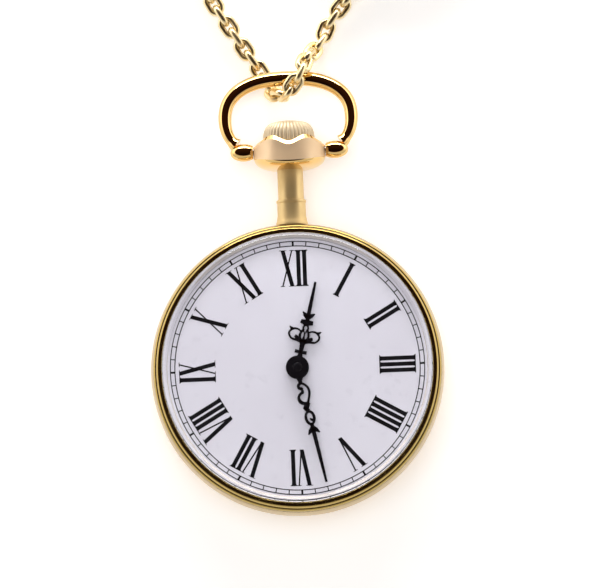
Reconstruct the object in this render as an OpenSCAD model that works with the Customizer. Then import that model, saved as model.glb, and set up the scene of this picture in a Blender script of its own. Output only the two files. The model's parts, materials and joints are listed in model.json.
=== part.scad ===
// Open-face pendant watch, lying face up, with its winding and going train and its neck chain.
// +Z is the dial's normal, +Y points to 12 o'clock, and the origin is the centre of the flat back.

/* [Case] */
// Diameter of the case middle
case_d = 42; // [41.8:0.1:43]
// Thickness over the crystal
case_t = 11.4; // [11.3:0.1:12]
// Diameter of the bezel
bezel_d = 41.2; // [41.1:0.1:41.5]
// Diameter of the flat on the back cover
back_flat_d = 30; // [24:1:32]

/* [Dial and hands] */
// Diameter of the dial
dial_d = 37.2; // [37:0.1:37.3]
// Length of the hour hand from the centre
hour_length = 12.5; // [11.5:0.1:13.5]
// Length of the minute hand from the centre
minute_length = 16.9; // [15:0.1:17.2]
// Minutes past twelve that the hands show
minutes_shown = 28; // [0:1:59]

/* [Pendant, bow and crown] */
// Diameter of the cup that holds the crown
head_d = 10.3; // [10:0.1:10.6]
// Diameter of the crown at its base
crown_d = 7.4; // [6.8:0.1:7.6]
// Number of flutes round the crown
crown_flutes = 40; // [24:1:44]
// Width of the bow over its wire
bow_width = 20.1; // [19.6:0.1:21]
// Length of the bow from its pivots to the middle of its top
bow_reach = 10.8; // [10.4:0.05:11]
// How far the resting bow droops below the case's plane, in degrees
bow_droop = 8; // [7:0.5:9]

/* [Chain] */
// Width of the chain over its links
chain_d = 2.6; // [2.4:0.1:2.6]
// Turns of stored chain side by side
coil_turns = 3; // [2:1:3]
// Layers of stored chain
coil_layers = 2; // [1:1:2]

/* [Hidden] */
$fn = 48;

// Teeth on the barrel and on the centre wheel
wheel_teeth = 80;
// Leaves on the centre, third and fourth pinions
pinion_leaves = 10;
// Teeth on the third wheel
third_teeth = 75;
// Teeth on the escape wheel
escape_teeth = 15;

gold = "#d8a94e";
pale_gold = "#e6cb92";
brass = "#c9a24a";
steel = "#a9adb3";
nickel = "#c6c7c9";
ruby = "#b3123f";

// Heights of the case's parts above the back's flat
case_r = case_d / 2;
bezel_r = bezel_d / 2;
dial_r = dial_d / 2;
middle_z0 = 3.2;
middle_z1 = 7.4;
rim_top = 8.3;
crystal_z0 = 8.5;
bezel_top = 9.1;
stem_z = (middle_z0 + middle_z1) / 2;
tol = 0.05;

// Radii where the case's parts fit each other
rim_in = dial_r + 0.15;
rim_out = rim_in + 0.5;
snap_r = 18.65;
ring_r = 17.7;
plate_r = 17.2;
bridge_r = 15.6;
crystal_r = bezel_r - 1.25;

// Heights of the movement's layers
bridge_z0 = 2.2;
bridge_z1 = 3.8;
plate_z0 = stem_z;
plate_z1 = 6.5;
works_z = plate_z1 + 0.1;
dial_z0 = 7.5;
dial_z1 = 7.9;
wind_z0 = 2.85;
wind_z1 = 3.45;
recess_z = 3.52;

// Heights of the hands
hour_z = 8.3;
minute_z = 8.85;
hand_t = 0.2;
minute_angle = minutes_shown * 6;
hour_angle = minute_angle / 12;

// Lengths along the pendant, from the case's centre
tube_foot = bezel_r + 0.15;
tube_end = snap_r + 0.1;
tube_step = 24.4;
head_y0 = 28.7;
head_y1 = 33.4;
cup_floor = 31.3;
pivot_y = 31.5;
crown_y0 = 31.9;
crown_y1 = 35.9;
tube_r = 1.85;
stem_r = 0.6;
stem_bore = 0.8;
knob_x0 = head_d / 2 + 0.12;
knob_x1 = 8.5;
knob_r = 1.28;
pin_r = 0.5;

// Gear modules and running clearances
barrel_m = 0.16;
centre_m = 0.13;
third_m = 0.12;
fourth_m = 0.10;
works_m = 0.15;
wind_m = 0.2;
escape_leaves = 8;
run = 0.03;
pivot_r = 0.1;
jewel_r = 0.5;

// Where each arbor stands, each placed from the one that drives it
function polar(r, a) = [r * cos(a), r * sin(a)];
function pair_distance(a, b, m) = (a + b) * m / 2;
barrel_dir = 135.6;
third_dir = -30;
fourth_dir = -120;
escape_dir = 190;
balance_dir = 165;
barrel_at = polar(pair_distance(wheel_teeth, pinion_leaves, barrel_m), barrel_dir);
third_at = polar(pair_distance(wheel_teeth, pinion_leaves, centre_m), third_dir);
fourth_at = third_at + polar(pair_distance(third_teeth, pinion_leaves, third_m), fourth_dir);
escape_at = fourth_at + polar(pair_distance(wheel_teeth, escape_leaves, fourth_m), escape_dir);
escape_r = 2.2;
pallet_at = escape_at + polar(escape_r / cos(30), balance_dir);
balance_at = pallet_at + polar(3.4, balance_dir);
balance_r = 4.2;
cock_dir = atan2(balance_at[1], balance_at[0]);
crown_teeth = 33;
ratchet_teeth = 52;
crown_wheel_at = [0, 11.8];
ratchet_dir = atan2((barrel_at - crown_wheel_at)[1], (barrel_at - crown_wheel_at)[0]);
click_at = barrel_at + polar(6.8, 110);
click_tip = barrel_at + polar(5.45, 95);
works_distance = 3;
minute_wheel_at = [0, works_distance];
minute_teeth = 30;
hour_teeth = 32;
minute_leaves = 8;
setting_teeth = 34;
setting_at = minute_wheel_at + [0, pair_distance(minute_teeth, setting_teeth, works_m)];
lever_at = [3.4, 15.6];
lever_pin = [0, 16.3];
yoke_at = [-4.6, 13.2];
yoke_pin = [-0.95, 12.77];
setting_posts = [[-6.2, 12], [5.6, 13.4]];
pallet_foot = pallet_at + polar(3, balance_dir + 90);
slot_half = 2;
slot_y0 = 10.4;

// Where the screws and the dial's feet stand
barrel_screws = [for (a = [70, 150, 185]) polar(14.8, a)];
train_screws = [for (a = [-110, -75, -25, 30]) polar(14.6, a)];
cock_screw = balance_at + polar(5.9, cock_dir);
case_screw_at = [for (a = [20, 160, 300]) polar(16.65, a)];
foot_at = [for (a = [60, 240]) polar(15.4, a)];

// The tooth phase of a gear that meshes with another in direction toward
function mesh_phase(toward, n_a, phase_a, n_b) =
    toward + 180 - (0.5 - (toward - phase_a) * n_a / 360) * 360 / n_b;
centre_pinion_phase = mesh_phase(barrel_dir + 180, wheel_teeth, 0, pinion_leaves);
third_pinion_phase = mesh_phase(third_dir, wheel_teeth, 0, pinion_leaves);
fourth_pinion_phase = mesh_phase(fourth_dir, third_teeth, 0, pinion_leaves);
escape_pinion_phase = mesh_phase(escape_dir, wheel_teeth, 0, escape_leaves);
minute_phase = mesh_phase(90, pinion_leaves, 0, minute_teeth);
hour_phase = mesh_phase(-90, minute_leaves, 0, hour_teeth);
setting_phase = mesh_phase(90, minute_teeth, minute_phase, setting_teeth);
ratchet_phase = mesh_phase(ratchet_dir, crown_teeth, 0, ratchet_teeth);

// The chain's route: it lies on the surface, goes under the bow's top and comes back over it
chain_r = chain_d / 2;
loop_route = [
    [-5, 45.5, 1.3], [-3.8, 43.6, 1.3], [-2.9, 41.9, 1.3], [-2.1, 40.5, 1.7],
    [-1.2, 39.8, 3.4], [-0.2, 39.9, 5.2], [0.7, 40.7, 6.3], [1.6, 41.9, 6.6],
    [2.2, 43.1, 6.3], [2.9, 44.7, 4.9], [3.8, 45.9, 2.6]
];
left_route = [
    [-6.1, 47.2, 1.3], [-7.6, 49.6, 1.3], [-9.3, 52.3, 1.3], [-10.9, 55.2, 1.3],
    [-12.4, 58.3, 1.3], [-12.9, 61.4, 1.3]
];
right_route = [
    [5.2, 47.7, 1.3], [6.4, 50.2, 1.3], [8.6, 53, 1.3], [11.8, 56.2, 1.3],
    [15.7, 59, 1.4], [20.4, 60.5, 1.6]
];
tail_route = [
    [1.2, 85.5, 4.2], [-1.6, 81.2, 3.4], [-4, 77.6, 1.8], [-5.9, 74.6, 1.3], [-7.6, 71.8, 1.3]
];
tie_t = 0.3;
coil_at = [16, 77];
coil_r = 14.5;
clasp_at = [-10.9, 66];
clasp_r = 2.6;
clasp_z = 1.4;
clasp_gap = 60;
end_ring_r = 1.5;
end_ring_dir = 58;

module at(p, z = 0) { translate([p[0], p[1], z]) children(); }
module disc(r, z0, z1) { translate([0, 0, z0]) cylinder(r = r, h = z1 - z0); }
module block(low, high) { translate(low) cube(high - low); }
module plate(points, z0, z1) { translate([0, 0, z0]) linear_extrude(z1 - z0) polygon(points); }
// Turns a profile of [radius, length] pairs about the stem's axis
module on_stem() { translate([0, 0, stem_z]) rotate([-90, 0, 0]) children(); }
module turned_on_stem(profile) { on_stem() rotate_extrude() polygon(profile); }
module each_side() { for (side = [0, 1]) mirror([side, 0, 0]) children(); }

function arc(centre, radii, from, to, steps) =
    [for (i = [0:steps]) let (a = from + (to - from) * i / steps)
        [centre[0] + radii[0] * cos(a), centre[1] + radii[1] * sin(a)]];
function unit(v) = v / norm(v);

// A gear's outline: straight-sided teeth, thinner than half the pitch so that meshed pairs run free
function gear_outline(teeth, m, phase) =
    [for (i = [0:teeth - 1]) for (corner = [[-0.24, -1.1], [-0.1, 0.8], [0.1, 0.8], [0.24, -1.1]])
        polar(teeth * m / 2 + corner[1] * m, phase + (i + corner[0]) * 360 / teeth)];

module gear(teeth, m, phase, z0, z1) { plate(gear_outline(teeth, m, phase), z0, z1); }

module wheel_windows(r_in, r_out, spokes, gap, z0, z1) {
    for (i = [0:spokes - 1])
        rotate([0, 0, i * 360 / spokes + gap / 2]) translate([0, 0, z0 - 1])
            rotate_extrude(angle = 360 / spokes - gap) translate([r_in, 0])
                square([r_out - r_in, z1 - z0 + 2]);
}

// A train wheel with its pinion and arbor, all in one piece as they are riveted
module train_wheel(teeth, m, z0, leaves, leaf_m, leaf_phase, leaf_z0, leaf_z1, arbor_z0, arbor_z1) {
    wheel_t = 0.2;
    root = teeth * m / 2 - 1.1 * m;
    difference() {
        gear(teeth, m, 0, z0, z0 + wheel_t);
        wheel_windows(0.35 * root, root - 0.45, 5, 22, z0, z0 + wheel_t);
    }
    gear(leaves, leaf_m, leaf_phase, leaf_z0, leaf_z1);
    disc(0.25, arbor_z0 + 0.35, arbor_z1 - 0.35);
    disc(pivot_r, arbor_z0, arbor_z1);
}

// A slotted screw whose head's outer face is at z0, with the shank running to z1
module screw(head_r, head_t, shank_r, z0, z1) {
    difference() {
        disc(head_r, z0, z0 + head_t);
        block([-head_r - 1, -0.1, z0 - 1], [head_r + 1, 0.1, z0 + head_t / 3]);
    }
    disc(shank_r, z0 + head_t, z1);
}

// A flat spiral strip
function spiral_outline(r0, r1, turns, width, steps) = let (n = turns * steps) concat(
    [for (i = [0:n]) polar(r0 + (r1 - r0) * i / n + width / 2, 360 * i / steps)],
    [for (i = [n:-1:0]) polar(r0 + (r1 - r0) * i / n - width / 2, 360 * i / steps)]);

// A smooth curve through a route's points, with the given steps from each point to the next
function route_point(p, i, t) = let (
    a = p[max(i - 1, 0)],
    b = p[i],
    c = p[i + 1],
    d = p[min(i + 2, len(p) - 1)]
) 0.5 * (2 * b + (c - a) * t + (2 * a - 5 * b + 4 * c - d) * t * t + (3 * b - a - 3 * c + d) * t * t * t);
function smooth_route(p, steps) = concat(
    [for (i = [0:len(p) - 2]) for (k = [0:steps - 1]) route_point(p, i, k / steps)],
    [p[len(p) - 1]]);

// A round bar swept along a path, with a radius for each of its points and a direction it never runs in
module bar(path, radii, sides, never) {
    n = len(path);
    points = [for (i = [0:n - 1])
        let (
            along = unit(path[min(i + 1, n - 1)] - path[max(i - 1, 0)]),
            across = unit(cross(along, never)),
            up = cross(across, along)
        )
        for (k = [0:sides - 1]) let (a = 360 * (k + 0.5) / sides)
            path[i] + radii[i] * (cos(a) * across + sin(a) * up)];
    walls = [for (i = [0:n - 2]) for (k = [0:sides - 1])
        let (a = i * sides + k, b = i * sides + (k + 1) % sides)
        for (face = [[a, a + sides, b], [b, a + sides, b + sides]]) face];
    start_cap = [for (k = [0:sides - 1]) k];
    end_cap = [for (k = [sides - 1:-1:0]) (n - 1) * sides + k];
    polyhedron(points = points, faces = concat(walls, [start_cap, end_cap]));
}
module chain_bar(route, steps, never) {
    path = smooth_route(route, steps);
    bar(path, [for (p = path) chain_r], 8, never);
}

// Case

module case_middle() {
    bulge = case_r - bezel_r;
    half = (middle_z1 - middle_z0) / 2;
    bulge_r = (half * half + bulge * bulge) / (2 * bulge);
    bulge_a = asin(half / bulge_r);
    color(pale_gold) difference() {
        rotate_extrude() polygon(concat(
            arc([case_r - bulge_r, stem_z], [bulge_r, bulge_r], -bulge_a, bulge_a, 5),
            [[rim_out, middle_z1], [rim_out, rim_top], [rim_in, rim_top], [rim_in, dial_z0 - tol],
             [ring_r, dial_z0 - tol], [ring_r, middle_z0 + 1.1],
             [snap_r, middle_z0 + 1.1], [snap_r, middle_z0]]));
        on_stem() disc(tube_r - 0.15, ring_r - 1, case_r + 1);
        on_stem() disc(tube_r + 0.5, tube_foot, case_r + 1);
    }
}

module case_back() {
    shell_t = 0.7;
    flat_r = back_flat_d / 2;
    shoulder = 3;
    snap_in = snap_r - 0.65;
    color(gold) rotate_extrude() polygon(concat(
        [[0, 0]],
        arc([flat_r, shoulder], [bezel_r - flat_r, shoulder], -90, 0, 12),
        [[bezel_r, middle_z0], [snap_r - tol, middle_z0],
         [snap_r - tol, middle_z0 + 1], [snap_in, middle_z0 + 1]],
        arc([flat_r, shoulder], [snap_in - flat_r, shoulder - shell_t], 0, -90, 12),
        [[0, shell_t]]));
}

module bezel() {
    seat = crystal_r + 0.02;
    color(gold) rotate_extrude() polygon(concat(
        [[rim_out + tol, middle_z1], [bezel_r - 0.15, middle_z1]],
        arc([bezel_r - 0.95, 8], [0.95, bezel_top - 8], -15, 90, 9),
        [[seat, bezel_top], [seat, crystal_z0], [rim_in + 0.1, crystal_z0], [rim_in + 0.1, rim_top + tol],
         [rim_out + tol, rim_top + tol]]));
}

module crystal() {
    shoulder = crystal_r - 1;
    shoulder_z = case_t - 1;
    dome_r = (shoulder * shoulder + 1) / 2;
    dome_a = asin(shoulder / dome_r);
    in_r = crystal_r - 0.85;
    in_dome_r = (in_r * in_r + 0.64) / 1.6;
    in_dome_a = asin(in_r / in_dome_r);
    in_top = case_t - 0.9;
    color("#eef3f6", 0.3) rotate_extrude() polygon(concat(
        [[in_r, crystal_z0], [crystal_r, crystal_z0]],
        arc([shoulder, shoulder_z - 0.9], [1, 0.9], 0, 84, 7),
        arc([0, case_t - dome_r], [dome_r, dome_r], 90 - dome_a, 90, 10),
        arc([0, in_top - in_dome_r], [in_dome_r, in_dome_r], 90, 90 - in_dome_a, 10)));
}

module dial() {
    color("#e4e3ea") {
        difference() {
            disc(dial_r, dial_z0, dial_z1);
            disc(1.1, dial_z0 - 1, dial_z1 + 1);
        }
        for (p = foot_at) at(p) disc(0.4, plate_z0 + 0.6, dial_z0);
    }
}

module movement_ring() {
    color(brass) difference() {
        disc(ring_r, plate_z0, 7);
        disc(plate_r, plate_z0 - 1, 8);
        block([-1.9, plate_r - 3, plate_z0 - 1], [1.9, plate_r + 3, 8]);
    }
}

module case_screws() {
    color(steel) for (p = case_screw_at) at(p) screw(0.9, 0.5, 0.4, plate_z0 - 0.5, plate_z1 - 0.3);
}

// Pendant, bow and crown

module pendant_tube() {
    color(gold) turned_on_stem([
        [stem_bore, tube_end], [tube_r - 0.15, tube_end], [tube_r - 0.15, tube_foot], [2.3, tube_foot],
        [2.3, 21.1], [2.15, 21.5], [2.05, 22], [2.05, 24.1], [2.15, 24.15], [2.15, tube_step],
        [tube_r, tube_step], [tube_r, head_y0], [1.2, head_y0], [1.2, 30.2], [stem_bore, 30.2]
    ]);
}

module pendant_head() {
    head_r = head_d / 2;
    cup_r = crown_d / 2 + 0.3;
    lobe_cut = 2.5;
    color(gold) difference() {
        turned_on_stem(concat(
            [[1.2, head_y0], [tube_r + 0.15, head_y0]],
            arc([tube_r + 0.15, head_y0 + 1.1], [head_r - tube_r - 0.15, 0.9], -75, 0, 6),
            [[head_r, head_y1 - 0.2], [head_r - 0.15, head_y1], [cup_r, head_y1], [cup_r, cup_floor],
             [stem_bore, cup_floor], [stem_bore, 30.2], [1.2, 30.2]]));
        translate([0, 32.2 + lobe_cut, -10]) cylinder(r = lobe_cut, h = 30);
        each_side() translate([5.6, 34.4, -10]) cylinder(r = 1.9, h = 30);
        each_side() translate([0, pivot_y, stem_z]) rotate([0, 90, 0]) disc(pin_r, cup_r - 1, head_r + 1);
    }
}

module bow_pins() {
    color(steel) each_side() translate([0, pivot_y, stem_z]) rotate([0, 90, 0])
        disc(pin_r, crown_d / 2 + 0.35, 7.15);
}

module in_bow_plane() { translate([0, pivot_y, stem_z]) rotate([-bow_droop, 0, 0]) children(); }

module bow() {
    top_r = 1.05;
    side_r = 0.95;
    end_r = 0.75;
    half_w = bow_width / 2 - side_r;
    widest = 4.75;
    fullness = 2.4;
    side_steps = 6;
    top_steps = 12;
    lower = arc([half_w - 2.6, widest], [2.6, 3.9], -62, 0, side_steps);
    upper = [for (i = [1:top_steps]) let (a = 90 * i / top_steps)
        [half_w * pow(cos(a), 2 / fullness), widest + (bow_reach - widest) * pow(sin(a), 2 / fullness)]];
    half = concat(lower, upper);
    count = len(half);
    half_radii = [for (i = [0:count - 1]) i < side_steps
        ? end_r + (side_r - end_r) * i / side_steps
        : side_r + (top_r - side_r) * (i - side_steps) / top_steps];
    left = [count - 2:-1:0];
    path = concat([for (p = half) [p[0], p[1], 0]], [for (i = left) [-half[i][0], half[i][1], 0]]);
    radii = concat(half_radii, [for (i = left) half_radii[i]]);
    color(gold) in_bow_plane() bar(path, radii, 12, [0, 0, 1]);
}

module bow_knobs() {
    length = knob_x1 - knob_x0;
    color(gold) in_bow_plane() each_side() rotate([0, 90, 0]) difference() {
        rotate_extrude() polygon(concat(
            [[0, knob_x0], [0.75, knob_x0]],
            [for (i = [1:9]) let (a = 180 * i / 10)
                [knob_r * pow(sin(a), 0.8) * (1 + 0.1 * cos(a)), knob_x0 + length * (1 - cos(a)) / 2]],
            [[0, knob_x1]]));
        disc(pin_r + tol, knob_x0 - 1, 7.25);
    }
}

module crown() {
    r = crown_d / 2;
    color(pale_gold) difference() {
        turned_on_stem(concat(
            [[0, crown_y0], [r - 0.15, crown_y0], [r, crown_y0 + 0.15], [r, crown_y0 + 1.6]],
            arc([r - 1.5, crown_y0 + 1.6], [1.5, crown_y1 - crown_y0 - 1.8], 15, 75, 5),
            [[0, crown_y1]]));
        on_stem() disc(stem_r, crown_y0 - 1, 34.2);
        for (i = [0:crown_flutes - 1])
            on_stem() rotate([0, 0, i * 360 / crown_flutes]) translate([r + 0.06, 0, 0])
                disc(0.2, crown_y0 - 1, crown_y1 + 1);
    }
}

module winding_stem() {
    groove = [16.14, 16.46];
    color(steel) {
        turned_on_stem([
            [0, 14.2], [stem_r, 14.2], [stem_r, groove[0]], [0.35, groove[0]], [0.35, groove[1]],
            [stem_r, groove[1]], [stem_r, 34.2], [0, 34.2]
        ]);
        block([-0.4, 10.9, stem_z - 0.4], [0.4, 14.2, stem_z + 0.4]);
        on_stem() disc(0.25, 9, 10.9);
    }
}

// Keyless works

module winding_pinion() {
    color(steel) difference() {
        on_stem() {
            gear(12, 0.25, 0, 14.3, 15.9);
            disc(1.1, 14.05, 14.3);
        }
        on_stem() disc(stem_r + 0.02, 13, 17);
    }
}

module sliding_pinion() {
    color(steel) difference() {
        union() {
            turned_on_stem([[0, 11.9], [1.1, 11.9], [1.1, 12.6], [0.75, 12.6], [0.75, 12.94], [1.1, 12.94],
                            [1.1, 13.95], [0, 13.95]]);
            on_stem() gear(12, 0.2, 0, 11.5, 11.9);
        }
        block([-0.42, 11, stem_z - 0.42], [0.42, 14.5, stem_z + 0.42]);
    }
}

module crown_wheel() {
    color(steel) at(crown_wheel_at) difference() {
        gear(crown_teeth, wind_m, 0, wind_z0, wind_z1);
        disc(stem_r + run, wind_z0 - 1, wind_z1 + 1);
    }
}

module ratchet_wheel() {
    color(steel) at(barrel_at) difference() {
        gear(ratchet_teeth, wind_m, ratchet_phase, wind_z0, wind_z1);
        block([-0.55, -0.55, wind_z0 - 1], [0.55, 0.55, wind_z1 + 1]);
    }
}

module ratchet_screw() {
    color(steel) at(barrel_at) screw(1.3, 0.45, 0.3, wind_z0 - 0.45, wind_z1 + 0.15);
}

module click() {
    reach = click_tip - click_at;
    side = [-reach[1], reach[0]] / norm(reach);
    color(steel) at(click_at) difference() {
        union() {
            disc(0.8, wind_z0, wind_z1);
            plate([0.5 * side, -0.5 * side, reach - 0.05 * side, reach + 0.15 * side], wind_z0, wind_z1);
        }
        disc(0.35 + run, wind_z0 - 1, wind_z1 + 1);
    }
}

module click_spring() {
    color(steel) at(click_at, wind_z0 + 0.1) rotate([0, 0, 70])
        rotate_extrude(angle = 160) translate([1.9, 0]) square([0.18, 0.35]);
}

module setting_lever() {
    color(steel) {
        difference() {
            union() {
                at(lever_at) disc(0.7, works_z, works_z + 0.35);
                plate([[3.3, 15.1], [1.6, 16.06], [-0.25, 16.08], [-0.25, 16.55], [1, 16.6], [3.5, 16.25]],
                      works_z, works_z + 0.35);
            }
            at(lever_at) disc(0.3 + run, works_z - 1, works_z + 1);
        }
        at(lever_pin) disc(0.1, stem_z + 0.42, works_z);
    }
}

module yoke() {
    color(steel) {
        difference() {
            union() {
                at(yoke_at) disc(0.7, works_z, works_z + 0.35);
                plate([[-4.9, 12.6], [-0.75, 12.55], [-0.75, 13], [-4.4, 13.8]], works_z, works_z + 0.35);
            }
            at(yoke_at) disc(0.3 + run, works_z - 1, works_z + 1);
        }
        at(yoke_pin) disc(0.12, stem_z + 0.1, works_z);
    }
}

module setting_bridge() {
    z0 = 7.08;
    z1 = 7.36;
    color(steel) difference() {
        union() {
            plate([[-7, 11.4], [-5.4, 10.9], [-2.4, 12.8], [4.6, 12.4],
                   [6.5, 13.2], [3.8, 16.4], [-4.4, 15.2]],
                  z0, z1);
            for (p = setting_posts) at(p) disc(0.7, plate_z1, z0);
        }
        for (p = setting_posts) at(p) {
            disc(0.3, plate_z1 - 1, z1 + 1);
            disc(0.55, z1 - 0.2, z1 + 1);
        }
        for (p = [lever_at, yoke_at]) at(p) disc(0.3, z0 - 1, z1 + 1);
    }
}

module setting_wheel() {
    color(steel) at(setting_at) difference() {
        gear(setting_teeth, works_m, setting_phase, works_z, works_z + 0.35);
        disc(0.4 + run, works_z - 1, works_z + 1);
        wheel_windows(0.9, 1.8, 4, 30, works_z, works_z + 0.35);
    }
}

// Plates and bridges

module stem_slot(z0, z1) {
    block([-slot_half, slot_y0, z0], [slot_half, 16.1, z1]);
    block([-0.8, 16, z0], [0.8, 20, z1]);
}

module main_plate() {
    color(brass) difference() {
        union() {
            disc(plate_r, plate_z0, plate_z1);
            at(minute_wheel_at) disc(0.3, plate_z1, 7.36);
            at(setting_at) disc(0.4, plate_z1, 7.2);
            for (p = [lever_at, yoke_at]) at(p) disc(0.3, plate_z1, 7.36);
        }
        at(barrel_at) disc(6.45, plate_z0 - 1, 6.2);
        at(barrel_at) disc(0.6 + run, plate_z0 - 1, plate_z1 + 1);
        stem_slot(plate_z0 - 1, plate_z1 + 0.05);
        on_stem() disc(0.27, 8.8, slot_y0 + 1);
        disc(0.4 + run, plate_z0 - 1, plate_z1 + 1);
        for (p = [third_at, fourth_at, escape_at, pallet_at, balance_at]) at(p) {
            disc(jewel_r, plate_z0 - 1, plate_z0 + 0.3);
            disc(0.2, plate_z0 - 1, plate_z1 + 1);
        }
        for (p = concat(barrel_screws, train_screws, [cock_screw]))
            at(p) disc(0.4, plate_z0 - 1, plate_z1 - 0.4);
        for (p = case_screw_at) at(p) disc(0.4, plate_z0 - 1, plate_z1 - 0.3);
        for (p = foot_at) at(p) disc(0.42, plate_z0 + 0.5, plate_z1 + 1);
        for (p = setting_posts) at(p) disc(0.3, plate_z1 - 0.9, plate_z1 + 1);
        at(pallet_foot) disc(0.25, plate_z0 - 1, plate_z0 + 0.7);
    }
}

// The sector between the balance and the case that its cock takes up
module cock_sector(half_width, from, z0, z1) {
    at(balance_at) rotate([0, 0, cock_dir]) block([from, -half_width, z0], [12, half_width, z1]);
}

module bridge_blank(rim_in_r, side) {
    difference() {
        disc(bridge_r, bridge_z0, plate_z0);
        disc(rim_in_r, bridge_z1, plate_z0 + 1);
        rotate([0, 0, barrel_dir]) translate([side > 0 ? 1.6 - 40 : 1.4, -20, 0]) cube([40, 40, 10]);
        at(balance_at) disc(balance_r + 0.75, 0, 10);
        cock_sector(3.15, 0, 0, 10);
    }
}

module barrel_bridge() {
    color(nickel) difference() {
        bridge_blank(14, 1);
        at(barrel_at) disc(5.5, bridge_z0 - 1, recess_z);
        at(crown_wheel_at) disc(3.6, bridge_z0 - 1, recess_z);
        at(click_at) disc(2.4, bridge_z0 - 1, recess_z);
        at(barrel_at) disc(0.83, bridge_z0 - 1, bridge_z1 + 1);
        at(crown_wheel_at) disc(stem_r, bridge_z0 - 1, bridge_z1 + 1);
        at(click_at) disc(0.35, bridge_z0 - 1, bridge_z1 + 1);
        block([-slot_half, 13.4, recess_z - 0.5], [slot_half, 20, plate_z0 + 1]);
        for (p = barrel_screws) at(p) {
            disc(0.4, bridge_z0 - 1, plate_z0 + 1);
            disc(0.8, bridge_z0 - 1, bridge_z0 + 0.5);
        }
    }
}

module train_bridge() {
    color(nickel) difference() {
        bridge_blank(13.4, -1);
        disc(0.25 + run, bridge_z0 - 1, bridge_z1 + 1);
        for (p = [third_at, fourth_at, escape_at]) at(p) {
            disc(jewel_r, bridge_z1 - 0.3, bridge_z1 + 1);
            disc(0.3, bridge_z0 - 1, bridge_z1 + 1);
        }
        for (p = train_screws) at(p) {
            disc(0.4, bridge_z0 - 1, plate_z0 + 1);
            disc(0.8, bridge_z0 - 1, bridge_z0 + 0.5);
        }
    }
}

module movement_screws() {
    color(steel) {
        for (p = concat(barrel_screws, train_screws, [cock_screw]))
            at(p) screw(0.75, 0.5, 0.4, bridge_z0, plate_z1 - 0.4);
        at(click_at) screw(0.7, 0.4, 0.35, wind_z0 - 0.4, bridge_z1);
        at(crown_wheel_at) screw(1.2, 0.4, stem_r, wind_z0 - 0.4, bridge_z1);
        at(pallet_foot) screw(0.45, 0.12, 0.25, 4.2, plate_z0 + 0.7);
        for (p = setting_posts) at(p, 7.36) mirror([0, 0, 1]) screw(0.5, 0.2, 0.3, 0, 1.7);
    }
}

// Barrel

module barrel_drum() {
    color(brass) at(barrel_at) difference() {
        union() {
            disc(6.2, 4.25, 6.1);
            gear(wheel_teeth, barrel_m, 0, 4.6, 5.1);
        }
        disc(5.85, 3, 5.7);
        disc(0.6 + run, 5, 7);
    }
}

module barrel_lid() {
    color(brass) at(barrel_at) difference() {
        disc(5.83, 4.25, 4.5);
        disc(0.83, 4, 5);
    }
}

module mainspring() {
    color(steel) at(barrel_at) plate(spiral_outline(1.4, 5.6, 9, 0.14, 20), 4.6, 5.6);
}

module barrel_arbor() {
    color(steel) at(barrel_at) difference() {
        union() {
            block([-0.55, -0.55, wind_z0], [0.55, 0.55, wind_z1]);
            disc(0.8, wind_z1, 4.6);
            disc(1.2, 4.6, 5.62);
            disc(0.6, 5.62, plate_z1);
        }
        disc(0.3, wind_z0 - 1, wind_z1 + 0.15);
    }
}

// Going train and escapement

module centre_wheel() {
    z0 = 3.9;
    color(brass) {
        difference() {
            gear(wheel_teeth, centre_m, 0, z0, z0 + 0.2);
            wheel_windows(1.6, 4.4, 5, 18, z0, z0 + 0.2);
        }
        gear(pinion_leaves, barrel_m, centre_pinion_phase, 4.55, 5.2);
        disc(0.5, z0, 4.6);
        disc(0.25, 2.9, z0);
        disc(0.4, 5, 9.15);
    }
}

module third_wheel() {
    color(brass) at(third_at) train_wheel(third_teeth, third_m, 4.45, pinion_leaves, centre_m,
        third_pinion_phase, 3.85, 4.2, 3.55, 5.55);
}

module fourth_wheel() {
    color(brass) at(fourth_at) train_wheel(wheel_teeth, fourth_m, 4.95, pinion_leaves, third_m,
        fourth_pinion_phase, 4.38, 4.72, 3.55, 5.55);
}

module escape_wheel() {
    z0 = 4.45;
    z1 = 4.6;
    color(steel) at(escape_at) {
        difference() {
            plate([for (i = [0:escape_teeth - 1])
                for (corner = [[0, 1.6], [8, escape_r - 0.08], [11, escape_r], [11.5, 1.6]])
                    polar(corner[1], i * 360 / escape_teeth + corner[0])], z0, z1);
            wheel_windows(0.7, 1.3, 4, 30, z0, z1);
        }
        gear(escape_leaves, fourth_m, escape_pinion_phase, 4.9, 5.2);
        disc(0.2, 3.9, 5.2);
        disc(pivot_r, 3.55, 5.55);
    }
}

module stone_shapes(z0, z1) {
    at(escape_at) for (a = [-30, 30])
        rotate([0, 0, balance_dir + a]) block([2.28, -0.07, z0], [2.66, 0.07, z1]);
}

module pallet_fork() {
    z0 = 4.45;
    z1 = 4.6;
    color(steel) difference() {
        at(pallet_at) rotate([0, 0, balance_dir]) union() {
            plate([[0.25, -1.5], [0.2, 0], [0.25, 1.5], [-0.35, 1.5], [-0.4, 0.9], [-0.15, 0.3],
                   [-0.15, -0.3], [-0.4, -0.9], [-0.35, -1.5]], z0, z1);
            plate([[0, -0.2], [2.2, -0.12], [2.35, -0.42], [2.95, -0.36], [2.95, -0.14], [2.5, -0.14],
                   [2.5, 0.14], [2.95, 0.14], [2.95, 0.36], [2.35, 0.42], [2.2, 0.12], [0, 0.2]], z0, z1);
            disc(0.15, z1, 5.2);
            disc(pivot_r, 4.22, 5.55);
        }
        stone_shapes(z0 - 1, z1 + 1);
    }
}

module pallet_stones() {
    color(ruby) stone_shapes(4.42, 4.63);
}

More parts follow.
